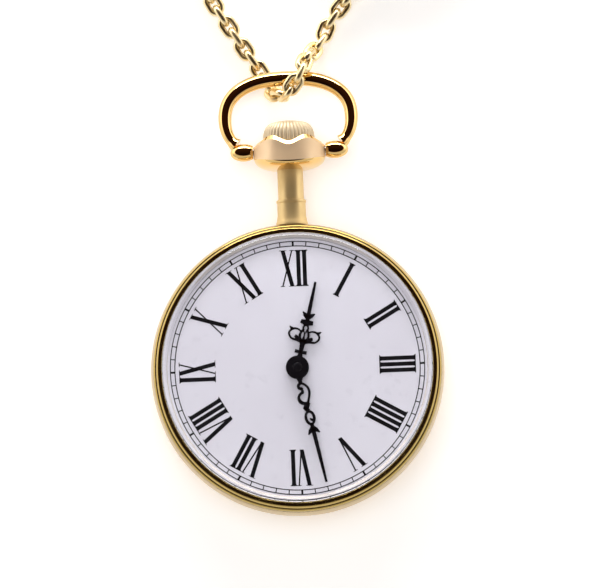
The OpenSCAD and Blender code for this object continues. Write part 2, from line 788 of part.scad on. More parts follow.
module pallet_bridge() {
    side = polar(0.45, balance_dir);
    z0 = 4.2;
    z1 = 4.38;
    color(nickel) difference() {
        union() {
            at(pallet_foot) disc(0.9, z0, plate_z0);
            plate([pallet_at + side, pallet_at - side, pallet_foot - side, pallet_foot + side], z0, z1);
            at(pallet_at) disc(0.45, z0, z1);
        }
        at(pallet_at) disc(pivot_r + run, z0 - 1, z1 + 1);
        at(pallet_foot) disc(0.25, z0 - 1, plate_z0 + 1);
        at(pallet_foot) disc(0.45, z0 - 1, z0 + 0.12);
    }
}

module balance_wheel() {
    rim_t = 0.5;
    color(brass) at(balance_at) {
        difference() {
            disc(balance_r, 3.85, 4.14);
            wheel_windows(0.9, balance_r - rim_t, 2, 14, 3.85, 4.14);
        }
        for (i = [0:11]) rotate([0, 0, 15 + i * 30]) translate([0, 0, 4])
            rotate([0, 90, 0]) disc(0.12, balance_r - 0.2, balance_r + 0.28);
        disc(0.25, 3.3, 5.2);
        disc(0.08, 3, 5.5);
    }
}

module roller() {
    color(steel) at(balance_at) difference() {
        disc(0.9, 4.2, 4.35);
        disc(0.25, 4, 5);
    }
    color(ruby) at(balance_at - polar(0.65, balance_dir)) disc(0.1, 4.35, 4.62);
}

module hairspring() {
    color(steel) at(balance_at) {
        plate(spiral_outline(0.62, 2.1, 7, 0.06, 24), 3.5, 3.65);
        difference() {
            disc(0.62, 3.5, 3.7);
            disc(0.25, 3, 4);
        }
    }
}

module balance_cock() {
    arm_z1 = 3.3;
    color(nickel) difference() {
        intersection() {
            disc(16.8, bridge_z0, plate_z0);
            union() {
                at(balance_at) disc(1.7, bridge_z0, arm_z1);
                at(balance_at) rotate([0, 0, cock_dir])
                    plate([[0, -1.7], [5, -3], [5, 3], [0, 1.7]], bridge_z0, arm_z1);
                cock_sector(3, 4.9, bridge_z0, plate_z0);
                at(balance_at) rotate([0, 0, cock_dir])
                    block([2.25, -0.15, bridge_z0], [2.55, 0.15, 3.7]);
            }
        }
        at(balance_at) disc(0.5, bridge_z0 - 1, arm_z1 + 0.1);
        at(cock_screw) disc(0.4, bridge_z0 - 1, plate_z0 + 1);
        at(cock_screw) disc(0.8, bridge_z0 - 1, bridge_z0 + 0.5);
    }
}

module regulator() {
    z0 = 1.95;
    color(steel) at(balance_at) difference() {
        union() {
            disc(1.45, z0, bridge_z0);
            rotate([0, 0, cock_dir + 180]) plate([[1, -0.3], [3.6, -0.1], [3.6, 0.1], [1, 0.3]], z0, bridge_z0);
        }
        disc(0.9 + tol, z0 - 1, bridge_z0 + 1);
    }
}

module jewel(z0, z1) {
    difference() {
        disc(jewel_r, z0, z1);
        disc(pivot_r + run, z0 - 1, z1 + 1);
    }
}

module jewels() {
    color(ruby) {
        for (p = [third_at, fourth_at, escape_at]) at(p) jewel(bridge_z1 - 0.3, bridge_z1);
        for (p = [third_at, fourth_at, escape_at, pallet_at, balance_at])
            at(p) jewel(plate_z0, plate_z0 + 0.3);
        at(balance_at) jewel(2.95, 3.25);
        at(balance_at) disc(0.9, 1.9, bridge_z0);
    }
}

// Motion works and hands

module cannon_pinion() {
    color(steel) difference() {
        union() {
            gear(pinion_leaves, works_m, 0, works_z, works_z + 0.3);
            disc(0.6, works_z, minute_z + hand_t);
        }
        disc(0.4, works_z - 1, minute_z + 1);
    }
}

module minute_wheel() {
    color(brass) at(minute_wheel_at) difference() {
        union() {
            gear(minute_teeth, works_m, minute_phase, works_z, works_z + 0.2);
            gear(minute_leaves, works_m, 0, works_z + 0.2, 7.34);
        }
        disc(0.3 + run, works_z - 1, 8);
    }
}

module hour_wheel() {
    color(brass) difference() {
        union() {
            gear(hour_teeth, works_m, hour_phase, 7, 7.25);
            disc(0.95, 7, hour_z + hand_t);
        }
        disc(0.63, 6, 9);
    }
}

module ring_shape(p, r_out, r_in, z0) {
    at(p) difference() {
        disc(r_out, z0, z0 + hand_t);
        disc(r_in, z0 - 1, z0 + 1);
    }
}

module hour_hand() {
    color("#15151a") rotate([0, 0, -hour_angle]) difference() {
        union() {
            disc(1.65, hour_z, hour_z + hand_t);
            plate([[-0.45, 1], [0.45, 1], [0.3, 6.2], [1.1, 6.4], [0.2, 8.4], [0.12, hour_length],
                   [-0.12, hour_length], [-0.2, 8.4], [-1.1, 6.4], [-0.3, 6.2]], hour_z, hour_z + hand_t);
            for (x = [-1, 1]) ring_shape([1.15 * x, 4.8], 0.95, 0.65, hour_z);
            plate([[-0.85, 3.5], [0.85, 3.5], [0.85, 3.75], [-0.85, 3.75]], hour_z, hour_z + hand_t);
        }
        disc(0.95, hour_z - 1, hour_z + 1);
    }
}

module minute_hand() {
    z1 = minute_z + hand_t;
    color("#15151a") rotate([0, 0, -minute_angle]) difference() {
        union() {
            disc(1.65, minute_z, z1);
            plate([[-0.35, 1], [0.35, 1], [0.3, 2.6], [-0.3, 2.6]], minute_z, z1);
            ring_shape([0, 3.8], 1.3, 1, minute_z);
            plate([[-0.3, 5], [0.3, 5], [0.3, 6.4], [-0.3, 6.4]], minute_z, z1);
            ring_shape([0, 7.2], 0.95, 0.6, minute_z);
            plate([[-0.3, 8], [-0.75, 8.3], [-0.2, 9.8], [-0.13, minute_length], [0.13, minute_length],
                   [0.2, 9.8], [0.75, 8.3], [0.3, 8]], minute_z, z1);
        }
        disc(0.6, minute_z - 1, minute_z + 1);
    }
}

// Chain and clasp

module chain_loop() { color(gold) chain_bar(loop_route, 3, [1, 0, 0]); }
module chain_left() { color(gold) chain_bar(left_route, 2, [0, 0, 1]); }
module chain_right() { color(gold) chain_bar(right_route, 2, [0, 0, 1]); }
module chain_tail() { color(gold) chain_bar(tail_route, 2, [0, 0, 1]); }

module chain_coil() {
    half = coil_turns * chain_r;
    color(gold) at(coil_at, tie_t) rotate_extrude() polygon([
        [coil_r - half, 0.8], [coil_r - half + 0.8, 0], [coil_r + half - 0.8, 0], [coil_r + half, 0.8],
        [coil_r + half, coil_layers * chain_d - 0.8], [coil_r + half - 0.8, coil_layers * chain_d],
        [coil_r - half + 0.8, coil_layers * chain_d], [coil_r - half, coil_layers * chain_d - 0.8]
    ]);
}

module coil_tie() {
    half = coil_turns * chain_r;
    top = tie_t + coil_layers * chain_d;
    color("#e8e4da") at(coil_at) rotate([0, 0, 90]) difference() {
        block([coil_r - half - 2 * tie_t, -1.5, 0], [coil_r + half + 2 * tie_t, 1.5, top + tie_t]);
        block([coil_r - half - tie_t, -2, tie_t], [coil_r + half + tie_t, 2, top]);
    }
}

module clasp_tube(r, from, sweep) {
    rotate([0, 0, from]) rotate_extrude(angle = sweep) translate([clasp_r, 0]) circle(r = r);
}

module clasp_body() {
    eye_r = 0.9;
    color(gold) at(clasp_at, clasp_z) difference() {
        union() {
            clasp_tube(0.65, clasp_gap, 360 - clasp_gap);
            translate([-1.35, -3.9, 0]) rotate_extrude() translate([eye_r, 0]) circle(r = 0.35);
        }
        clasp_tube(0.5, clasp_gap + 90, 365 - clasp_gap - 90);
        rotate([0, 0, -75]) rotate_extrude(angle = 68) translate([clasp_r, -0.3]) square([1, 0.6]);
    }
}

module clasp_bolt() {
    thumb_dir = -14;
    thumb_arc = 12;
    thumb_r = clasp_r + 0.8;
    color(pale_gold) at(clasp_at, clasp_z) {
        clasp_tube(0.45, -30, 88);
        rotate([0, 0, thumb_dir]) rotate([0, 90, 0]) disc(0.25, clasp_r, thumb_r + 0.2);
        rotate([0, 0, thumb_dir - thumb_arc / 2]) rotate_extrude(angle = thumb_arc)
            translate([thumb_r, -0.3]) square([0.35, 0.6]);
    }
}

module end_ring() {
    spot = clasp_at + polar(clasp_r, end_ring_dir + 40);
    color(gold) at(spot, 1.85) rotate([0, 0, end_ring_dir + 40]) rotate([90, 0, 0])
        rotate_extrude() translate([end_ring_r, 0]) circle(r = 0.35);
}

case_middle();
case_back();
bezel();
crystal();
dial();
movement_ring();
case_screws();
pendant_tube();
pendant_head();
bow_pins();
bow();
bow_knobs();
crown();
winding_stem();
winding_pinion();
sliding_pinion();
crown_wheel();
ratchet_wheel();
ratchet_screw();
click();
click_spring();
setting_lever();
yoke();
setting_bridge();
setting_wheel();
main_plate();
barrel_bridge();
train_bridge();
movement_screws();
barrel_drum();
barrel_lid();
mainspring();
barrel_arbor();
centre_wheel();
third_wheel();
fourth_wheel();
escape_wheel();
pallet_fork();
pallet_stones();
pallet_bridge();
balance_wheel();
roller();
hairspring();
balance_cock();
regulator();
jewels();
cannon_pinion();
minute_wheel();
hour_wheel();
hour_hand();
minute_hand();
chain_loop();
chain_left();
chain_right();
chain_coil();
chain_tail();
clasp_body();
clasp_bolt();
end_ring();
coil_tie();
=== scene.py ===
"""Looks of an open-face pendant watch with its winding crown, bow and neck chain.

Lengths in this file are in millimetres in the frame of the CAD part, and MM turns them into metres:
+Z is the dial's normal, +Y points to 12 o'clock, and z = 0 is the flat of the back.
"""

import json
import math
import random

import bmesh
import bpy
from mathutils import Matrix, Vector


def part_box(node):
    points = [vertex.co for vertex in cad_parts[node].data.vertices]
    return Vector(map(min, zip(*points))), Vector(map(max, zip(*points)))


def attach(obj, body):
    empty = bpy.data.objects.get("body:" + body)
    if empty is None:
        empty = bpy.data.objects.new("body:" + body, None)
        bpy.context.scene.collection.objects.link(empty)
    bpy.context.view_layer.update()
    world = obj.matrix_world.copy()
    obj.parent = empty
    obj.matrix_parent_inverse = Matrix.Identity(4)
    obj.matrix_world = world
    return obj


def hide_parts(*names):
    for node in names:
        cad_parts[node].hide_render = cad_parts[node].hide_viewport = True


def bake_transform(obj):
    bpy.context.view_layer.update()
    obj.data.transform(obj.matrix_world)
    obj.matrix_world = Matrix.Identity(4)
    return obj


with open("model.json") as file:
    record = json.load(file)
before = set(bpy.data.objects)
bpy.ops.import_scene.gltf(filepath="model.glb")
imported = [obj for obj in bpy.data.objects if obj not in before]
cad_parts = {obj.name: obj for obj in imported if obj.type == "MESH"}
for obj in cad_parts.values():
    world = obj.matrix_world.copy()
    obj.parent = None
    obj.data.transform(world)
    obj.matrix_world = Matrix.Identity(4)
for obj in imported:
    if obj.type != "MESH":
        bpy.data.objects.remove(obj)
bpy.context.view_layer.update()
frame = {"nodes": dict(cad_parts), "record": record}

MM = 0.001
UP = Vector((0, 0, 1))
TURN = 2 * math.pi


def node_box(name):
    """Lowest and highest corner of a CAD node, in millimetres."""
    return [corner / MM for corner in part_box(name)]


# Sizes that the part is designed with

BACK_LIP_H = 1
PIVOT_Y = 31.5
BOW_DROOP = math.radians(8)
BOW_TOP_R = 1.05
BOW_SIDE_R = 0.95
BOW_WIDEST = 4.75
BOW_FULLNESS = 2.4
RIM_GAP = 0.15
RIM_T = 0.5
MINUTES_SHOWN = 28

# Sizes taken from the frame

case_high = node_box("case_middle")[1]
bezel_low, bezel_high = node_box("bezel")
crystal_low, crystal_high = node_box("crystal")
dial_high = node_box("dial")[1]
head_low, head_high = node_box("pendant_head")
crown_low, crown_high = node_box("crown")
knob_high = node_box("bow_knobs")[1]
bow_high = node_box("bow")[1]

case_r = case_high.x
bezel_r = bezel_high.x
crystal_r = crystal_high.x
dial_r = dial_high.x
dial_top = dial_high.z
middle_z0 = node_box("case_back")[1].z - BACK_LIP_H
middle_z1 = bezel_low.z
stem_z = (middle_z0 + middle_z1) / 2
bow_reach = (bow_high.y - BOW_TOP_R - PIVOT_Y) / math.cos(BOW_DROOP)


# Materials

def node_of(tree, kind, **values):
    """A new shader node with the given inputs (by name) and settings (in lower case)."""
    node = tree.nodes.new(kind)
    for key, value in values.items():
        if key in node.inputs:
            node.inputs[key].default_value = value
        else:
            setattr(node, key, value)
    return node


def surface(name, colour, metallic=0.0, roughness=0.3, **sockets):
    """A material with one Principled shader. Returns the material, its node tree and the shader."""
    material = bpy.data.materials.new(name)
    material.use_nodes = True
    tree = material.node_tree
    shader = tree.nodes["Principled BSDF"]
    shader.inputs["Base Color"].default_value = (*colour, 1)
    shader.inputs["Metallic"].default_value = metallic
    shader.inputs["Roughness"].default_value = roughness
    for socket, value in sockets.items():
        shader.inputs[socket.replace("_", " ")].default_value = value
    return material, tree, shader


def noise_at(tree, scale, detail=4.0, stretch=(1, 1, 1)):
    """A noise pattern fixed to the object; its scale is in waves per metre, stretched along the axes."""
    place = tree.nodes.new("ShaderNodeTexCoord")
    mapping = tree.nodes.new("ShaderNodeMapping")
    mapping.inputs["Scale"].default_value = stretch
    noise = node_of(tree, "ShaderNodeTexNoise", Scale=scale, Detail=detail)
    tree.links.new(place.outputs["Object"], mapping.inputs["Vector"])
    tree.links.new(mapping.outputs["Vector"], noise.inputs["Vector"])
    return noise.outputs["Fac"]


def remapped(tree, value, before, after, kind="LINEAR"):
    """The value with its range before, as (low, high), spread over the range after."""
    spread = node_of(tree, "ShaderNodeMapRange", interpolation_type=kind)
    spread.inputs["From Min"].default_value, spread.inputs["From Max"].default_value = before
    spread.inputs["To Min"].default_value, spread.inputs["To Max"].default_value = after
    tree.links.new(value, spread.inputs["Value"])
    return spread.outputs["Result"]


def colour_ramp(tree, value, dark, light, places=(0.0, 1.0)):
    """A colour that runs from dark to light while the value runs between the two places."""
    ramp = tree.nodes.new("ShaderNodeValToRGB")
    for stop, place, colour in zip(ramp.color_ramp.elements, places, (dark, light)):
        stop.position = place
        stop.color = (*colour, 1)
    tree.links.new(value, ramp.inputs["Fac"])
    return ramp.outputs["Color"]


# Most of a noise pattern lies between these two values
NOISE_SPAN = (0.3, 0.7)


def vary_roughness(tree, shader, pattern, low, high):
    """Spreads the shader's roughness from low to high over the pattern."""
    tree.links.new(remapped(tree, pattern, NOISE_SPAN, (low, high)), shader.inputs["Roughness"])


def vary_colour(tree, shader, pattern, dark, light):
    """Blends the shader's colour from dark to light over the pattern."""
    tree.links.new(colour_ramp(tree, pattern, dark, light, NOISE_SPAN), shader.inputs["Base Color"])


def add_bump(tree, shader, pattern, height, strength=1.0):
    """Raises the pattern from the surface by up to height metres."""
    bump = node_of(tree, "ShaderNodeBump", Strength=strength, Distance=height)
    tree.links.new(pattern, bump.inputs["Height"])
    tree.links.new(bump.outputs["Normal"], shader.inputs["Normal"])


def metal(name, colour, roughness, shade=0.9, metallic=1.0,
          grain=900, grain_height=2e-6, stretch=(1, 1, 1)):
    """Metal with clouded polish and a fine grain; its tarnished spots have shade times its colour."""
    material, tree, shader = surface(name, colour, metallic=metallic)
    clouds = noise_at(tree, 260)
    vary_roughness(tree, shader, clouds, roughness * 0.75, roughness * 1.3)
    vary_colour(tree, shader, noise_at(tree, 120), [c * shade for c in colour], colour)
    add_bump(tree, shader, noise_at(tree, grain, 3.0, stretch), grain_height)
    return material


def striped_nickel():
    """Rhodium-plated bridges with broad ground stripes across them."""
    colour = (0.72, 0.72, 0.70)
    material, tree, shader = surface("nickel", colour, metallic=1.0)
    place = tree.nodes.new("ShaderNodeTexCoord")
    stripes = node_of(tree, "ShaderNodeTexWave", Scale=90.0, Distortion=0.0, wave_profile="SAW")
    stripes.bands_direction = "DIAGONAL"
    tree.links.new(place.outputs["Object"], stripes.inputs["Vector"])
    vary_roughness(tree, shader, stripes.outputs["Fac"], 0.18, 0.4)
    vary_colour(tree, shader, noise_at(tree, 200), [c * 0.92 for c in colour], colour)
    add_bump(tree, shader, stripes.outputs["Fac"], 6e-6)
    return material


def sunk_enamel():
    """The dial's cool white lacquer, with a faint mottle."""
    material, tree, shader = surface("enamel", (0.76, 0.745, 0.835), roughness=0.3, Coat_Weight=0.4)
    vary_colour(tree, shader, noise_at(tree, 90), (0.735, 0.72, 0.81), (0.77, 0.76, 0.85))
    vary_roughness(tree, shader, noise_at(tree, 700), 0.26, 0.36)
    add_bump(tree, shader, noise_at(tree, 500), 1e-6)
    return material


def painted_black(name, roughness):
    """Black lacquer or printing ink with a slightly uneven surface."""
    material, tree, shader = surface(name, (0.004, 0.004, 0.006), Specular_IOR_Level=0.15)
    vary_roughness(tree, shader, noise_at(tree, 900), roughness * 0.8, roughness * 1.2)
    vary_colour(tree, shader, noise_at(tree, 400), (0.003, 0.003, 0.004), (0.007, 0.007, 0.010))
    add_bump(tree, shader, noise_at(tree, 1500), 1e-6)
    return material


def clear_crystal():
    """Acrylic that bends what is seen through it and lets the lamps' light through to the dial."""
    material, tree, shader = surface("crystal", (1, 1, 1), roughness=0.0, IOR=1.49)
    shader.inputs["Transmission Weight"].default_value = 1.0
    add_bump(tree, shader, noise_at(tree, 60, 1.0), 2e-6, 0.3)
    rays = tree.nodes.new("ShaderNodeLightPath")
    clear = tree.nodes.new("ShaderNodeBsdfTransparent")
    mix = tree.nodes.new("ShaderNodeMixShader")
    tree.links.new(rays.outputs["Is Shadow Ray"], mix.inputs["Fac"])
    tree.links.new(shader.outputs["BSDF"], mix.inputs[1])
    tree.links.new(clear.outputs["BSDF"], mix.inputs[2])
    tree.links.new(mix.outputs["Shader"], tree.nodes["Material Output"].inputs["Surface"])
    return material


def ruby_jewel():
    """Synthetic ruby of the bearings and pallet stones."""
    material, tree, shader = surface("ruby", (0.55, 0.01, 0.06), roughness=0.06, IOR=1.77)
    vary_colour(tree, shader, noise_at(tree, 1500), (0.42, 0.005, 0.04), (0.62, 0.02, 0.09))
    add_bump(tree, shader, noise_at(tree, 2500), 1e-6)
    return material


def paper_tie():
    """Matt cream paper strip that holds the stored chain together."""
    material, tree, shader = surface("tie_paper", (0.82, 0.76, 0.64), roughness=0.85)
    vary_colour(tree, shader, noise_at(tree, 900), (0.74, 0.68, 0.56), (0.86, 0.80, 0.69))
    add_bump(tree, shader, noise_at(tree, 3000), 2e-5, 0.6)
    return material


gold = metal("gold", (0.88, 0.60, 0.24), 0.07, shade=0.88)
# The band's gold is the case gold painted darker and duller: painted shade for the band's side wall
band_gold_painted_shade = metal("band_gold_painted_shade", (0.62, 0.48, 0.28), 0.3, shade=0.92)
bezel_gold = metal("bezel_gold", (0.50, 0.36, 0.12), 0.2, shade=0.9)
neck_gold = metal("neck_gold", (0.82, 0.60, 0.28), 0.48, shade=0.9, metallic=0.7)
satin = {"roughness": 0.5, "shade": 0.92, "metallic": 0.7, "grain": 2200, "grain_height": 6e-6}
satin_gold = metal("satin_gold", (0.87, 0.64, 0.40), **satin)
crown_gold = metal("crown_gold", (0.74, 0.62, 0.43), **satin)
chain_gold = metal("chain_gold", (0.98, 0.80, 0.46), 0.3, shade=0.88)
movement_brass = metal("movement_brass", (0.86, 0.63, 0.28), 0.28, grain=2500, stretch=(1, 12, 1))
steel = metal("steel", (0.60, 0.61, 0.63), 0.2, grain=2500, stretch=(10, 1, 1))
nickel = striped_nickel()
ruby = ruby_jewel()
crystal_clear = clear_crystal()
enamel = sunk_enamel()
ink = painted_black("ink", 0.45)
hand_black = painted_black("hand_black", 0.22)
tie_paper = paper_tie()
gasket_grey = metal("gasket_grey", (0.80, 0.74, 0.71), 0.6, metallic=0.0)

CAD_FINISHES = {
    "movement_brass": movement_brass,
    "steel": steel,
    "nickel": nickel,
    "ruby": ruby,
    "gold": gold,
    "pale_gold": chain_gold,
    "crystal": crystal_clear,
    "dial": enamel,
    "hands": hand_black,
    "chain_gold": chain_gold,
    "tie": tie_paper,
}
# Every CAD node wears the finish of its material slot until a piece takes its place
for row in frame["record"]["subparts"]:
    cad_object = frame["nodes"][row["node"]]
    cad_object.data.materials.clear()
    cad_object.data.materials.append(CAD_FINISHES[row["material_slot"]])


# Mesh building

def quads(rows, columns, close_rows, close_columns):
    """Faces of a grid of vertices that are stored row by row."""
    faces = []
    for i in range(rows if close_rows else rows - 1):
        for j in range(columns if close_columns else columns - 1):
            here, beyond, after = i * columns, (i + 1) % rows * columns, (j + 1) % columns
            faces.append([here + j, beyond + j, beyond + after, here + after])
    return faces


def bar_faces(rows, columns):
    """Faces of a bar whose sections are the rows of a grid, with both of its ends closed."""
    last = (rows - 1) * columns
    ends = [list(range(columns))[::-1], [last + j for j in range(columns)]]
    return quads(rows, columns, False, True) + ends


def add_piece(name, shape, material, body, replaces=(), smooth=40, ride=True):
    """Makes a mesh from (vertices in mm, faces) and gives it to a CAD body, in place of some CAD nodes.

    Edges that bend less than smooth degrees are shaded round. A piece that blends two bodies doesn't ride.
    """
    vertices, faces = shape
    mesh = bpy.data.meshes.new(name)
    mesh.from_pydata([Vector(v) * MM for v in vertices], [], faces)
    mesh.validate()
    mesh.materials.append(material)
    piece = bpy.data.objects.new(name, mesh)
    bpy.context.scene.collection.objects.link(piece)
    tidy_mesh(mesh, smooth)
    if ride:
        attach(piece, body)
    if replaces:
        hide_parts(*replaces)
    return piece


def tidy_mesh(mesh, smooth):
    """Joins equal points, turns the faces outwards and keeps edges sharper than smooth degrees crisp."""
    work = bmesh.new()
    work.from_mesh(mesh)
    bmesh.ops.remove_doubles(work, verts=work.verts, dist=2e-7)
    bmesh.ops.dissolve_degenerate(work, edges=work.edges, dist=1e-8)
    bmesh.ops.recalc_face_normals(work, faces=work.faces)
    work.to_mesh(mesh)
    work.free()
    mesh.shade_smooth()
    mesh.set_sharp_from_angle(angle=math.radians(smooth))


def joined(*shapes):
    """Several (vertices, faces) shapes as one."""
    vertices, faces = [], []
    for more_vertices, more_faces in shapes:
        offset = len(vertices)
        vertices += list(more_vertices)
        faces += [[offset + corner for corner in face] for face in more_faces]
    return vertices, faces


def moved(shape, matrix):
    """The shape with every vertex put through the matrix."""
    vertices, faces = shape
    return [matrix @ Vector(v) for v in vertices], faces


def arc(centre, radii, start, end, steps):
    """Points of an elliptical arc, with its angles in degrees."""
    angles = [math.radians(start + (end - start) * i / steps) for i in range(steps + 1)]
    return [(centre[0] + radii[0] * math.cos(a), centre[1] + radii[1] * math.sin(a)) for a in angles]


def arc_radius(half_chord, rise):
    """Radius of the arc that rises this far over a chord of this half length."""
    return (half_chord ** 2 + rise ** 2) / (2 * rise)


def lathe(profile, steps, closed=True, wobble=None):
    """Turns a profile of (radius, height) round Z. wobble(radius, height, angle) may change each point."""
    change = wobble or (lambda radius, height, angle: (radius, height))
    vertices = []
    for i in range(steps):
        angle = TURN * i / steps
        for point in profile:
            radius, height = change(*point, angle)
            vertices.append((radius * math.cos(angle), radius * math.sin(angle), height))
    return vertices, quads(steps, len(profile), True, closed)


def washer(r_in, r_out, z0, z1):
    """A flat ring."""
    return lathe([(r_in, z0), (r_out, z0), (r_out, z1), (r_in, z1)], 240)


def on_stem(shape):
    """Lays a shape made round Z along the winding stem, with its height along +Y."""
    return moved(shape, Matrix.Translation((0, 0, stem_z)) @ Matrix.Rotation(-math.pi / 2, 4, "X"))


def in_bow_plane(shape):
    """Moves a shape from the bow's own plane to the drooping bow at its pivots."""
    return moved(shape, Matrix.Translation((0, PIVOT_Y, stem_z)) @ Matrix.Rotation(-BOW_DROOP, 4, "X"))


def curve_through(points, steps):
    """A smooth line through the points, with steps pieces between each pair."""
    points = [Vector(p) for p in points]
    padded = [2 * points[0] - points[1], *points, 2 * points[-1] - points[-2]]
    line = []
    for a, b, c, d in zip(padded, padded[1:], padded[2:], padded[3:]):
        for i in range(steps):
            t = i / steps
            line.append(0.5 * (2 * b + (c - a) * t + (2 * a - 5 * b + 4 * c - d) * t * t
                               + (3 * b - 3 * c + d - a) * t ** 3))
    return line + [points[-1]]


def frames_along(points):
    """(position, tangent, up) at each point, with the up direction carried along without twisting."""
    frames = []
    up = UP
    for i, point in enumerate(points):
        before, after = points[max(i - 1, 0)], points[min(i + 1, len(points) - 1)]
        tangent = (after - before).normalized()
        up = (up - tangent * up.dot(tangent)).normalized()
        frames.append((point, tangent, up.copy()))
    return frames


def tube(points, radii, sides):
    """A round bar with closed ends along the points, with one radius for each point."""
    vertices = []
    for (point, tangent, up), radius in zip(frames_along(points), radii):
        side = tangent.cross(up)
        for j in range(sides):
            angle = TURN * j / sides
            vertices.append(point + (side * math.cos(angle) + up * math.sin(angle)) * radius)
    return vertices, bar_faces(len(points), sides)


def ring_bar(outline, half_w, half_t, sides):
    """A bar of oval section along a closed flat outline, with half its width and half its thickness."""
    points = [Vector((x, y, 0)) for x, y in outline]
    vertices = []
    for before, point, after in zip(points[-1:] + points, points, points[1:] + points[:1]):
        side = (after - before).normalized().cross(UP)
        for j in range(sides):
            angle = TURN * j / sides
            vertices.append(point + side * (half_w * math.cos(angle)) + UP * (half_t * math.sin(angle)))
    return vertices, quads(len(points), sides, True, True)


def slab(outline, z0, z1):
    """A flat plate between two heights with the given outline."""
    count = len(outline)
    vertices = [(x, y, z) for z in (z0, z1) for x, y in outline]
    walls = [[i, (i + 1) % count, count + (i + 1) % count, count + i] for i in range(count)]
    return vertices, walls + [list(range(count))[::-1], list(range(count, 2 * count))]


def stroke(points, widths, z0, z1):
    """A flat bar with bevelled upper edges along a smooth line; its widths run evenly from end to end."""
    steps, bevel = 6, min(0.06, (z1 - z0) / 3)
    line = curve_through([(x, y, 0) for x, y in points], steps)
    vertices = []
    for i, (point, tangent, _) in enumerate(frames_along(line)):
        along = i / (len(line) - 1) * (len(widths) - 1)
        k = min(int(along), len(widths) - 2)
        half = (widths[k] + (widths[k + 1] - widths[k]) * (along - k)) / 2
        side = tangent.cross(UP)
        section = [(-half, z0), (half, z0), (half, z1 - bevel), (half - bevel, z1),
                   (bevel - half, z1), (-half, z1 - bevel)]
        vertices += [point + side * offset + UP * z for offset, z in section]
    return vertices, bar_faces(len(line), len(section))


def clockwise(shape, degrees):
    """Turns a shape about the dial's centre, clockwise as the dial is read."""
    return moved(shape, Matrix.Rotation(-math.radians(degrees), 4, "Z"))


# Camera: over the dial, a little towards 6 o'clock, with the watch turned slightly in the picture

VIEW_WIDTH = 85.7
VIEW_DISTANCE = 1500
SENSOR_WIDTH = 36
aim = Vector((0.76, 10.6, dial_top))
azimuth, elevation, roll = math.radians(5), math.radians(84), math.radians(2.2)
backward = Vector((
    math.sin(azimuth) * math.cos(elevation), -math.cos(azimuth) * math.cos(elevation), math.sin(elevation)))
picture_up = Vector((math.sin(roll), math.cos(roll), 0))
picture_up = (picture_up - backward * picture_up.dot(backward)).normalized()
picture_right = picture_up.cross(backward)
camera_data = bpy.data.cameras.new("camera")
camera_data.sensor_width = SENSOR_WIDTH
camera_data.lens = SENSOR_WIDTH * VIEW_DISTANCE / VIEW_WIDTH
camera_data.clip_start = 0.02
camera = bpy.data.objects.new("camera", camera_data)
bpy.context.scene.collection.objects.link(camera)
axes = Matrix((picture_right, picture_up, backward)).transposed().to_4x4()
camera.matrix_world = Matrix.Translation((aim + backward * VIEW_DISTANCE) * MM) @ axes
bpy.context.scene.camera = camera


# Chain: two strands from the bow's loop, the clasp on the short one and the long one stored in a coil

# Sizes of a link, the spacing of links, how far each turns off square in degrees, and the gap after the last
CHAIN_D = 2.6
LINK_LENGTH = 3.7
LINK_WIRE_R = 0.42
LINK_WIRE_T = 0.46
LINK_PITCH = 1.97
LINK_SWAY = 7
LAST_LINK_GAP = 1.2

loop_route = [(-5.0, 45.5, 1.3), (-3.8, 43.6, 1.3), (-2.9, 41.9, 1.3), (-2.1, 40.5, 1.7), (-1.2, 39.8, 3.4),
              (-0.2, 39.9, 5.2), (0.7, 40.7, 6.3), (1.6, 41.9, 6.6), (2.2, 43.1, 6.3), (2.9, 44.7, 4.9),
              (3.8, 45.9, 2.6)]
left_route = [(-6.1, 47.2, 1.3), (-7.6, 49.6, 1.3), (-9.3, 52.3, 1.3), (-10.9, 55.2, 1.3),
              (-12.4, 58.3, 1.3), (-12.9, 61.4, 1.3)]
right_route = [(5.2, 47.7, 1.3), (6.4, 50.2, 1.3), (8.6, 53.0, 1.3), (11.8, 56.2, 1.3), (15.7, 59.0, 1.4),
               (20.4, 60.5, 1.6)]
tail_route = [(1.2, 85.5, 4.2), (-1.6, 81.2, 3.4), (-4.0, 77.6, 1.8), (-5.9, 74.6, 1.3), (-7.6, 71.8, 1.3)]

COIL_CENTRE = Vector((16, 77, 0))
COIL_START = math.radians(-75)
COIL_TURNS = 5.625
COIL_STEPS = 72
COIL_SHIFT = 0.25
COIL_RADII = [17.1, 14.5, 11.9, 11.9, 14.5, 17.1]
COIL_HEIGHTS = [1.6, 1.6, 1.6, 4.2, 4.2, 4.2]


def coil_route():
    """The stored turns: inwards on the lower layer, up, and outwards on the upper one.

    Each turn moves over to the next one's radius and height in its last COIL_SHIFT.
    """
    line = []
    last = len(COIL_RADII) - 1
    for i in range(int(COIL_TURNS * COIL_STEPS) + 1):
        turn = i / COIL_STEPS
        k = int(turn)
        shift = max(0.0, (turn - k - (1 - COIL_SHIFT)) / COIL_SHIFT)
        shift = shift * shift * (3 - 2 * shift)
        after = min(k + 1, last)
        radius = COIL_RADII[k] + (COIL_RADII[after] - COIL_RADII[k]) * shift
        height = COIL_HEIGHTS[k] + (COIL_HEIGHTS[after] - COIL_HEIGHTS[k]) * shift
        angle = COIL_START + TURN * turn
        line.append(COIL_CENTRE + Vector((radius * math.cos(angle), radius * math.sin(angle), height)))
    return line


def link_shape():
    """One oval cable link, long along X and flat in the XY plane."""
    bend = CHAIN_D / 2 - LINK_WIRE_R
    half = (LINK_LENGTH - CHAIN_D) / 2
    outline = arc((half, 0), (bend, bend), -90, 90, 9) + arc((-half, 0), (bend, bend), 90, 270, 9)
    return ring_bar(outline, LINK_WIRE_R, LINK_WIRE_T, 12)


def measured(line):
    """Distance from the line's start to each of its points."""
    distances = [0.0]
    for a, b in zip(line, line[1:]):
        distances.append(distances[-1] + (b - a).length)
    return distances


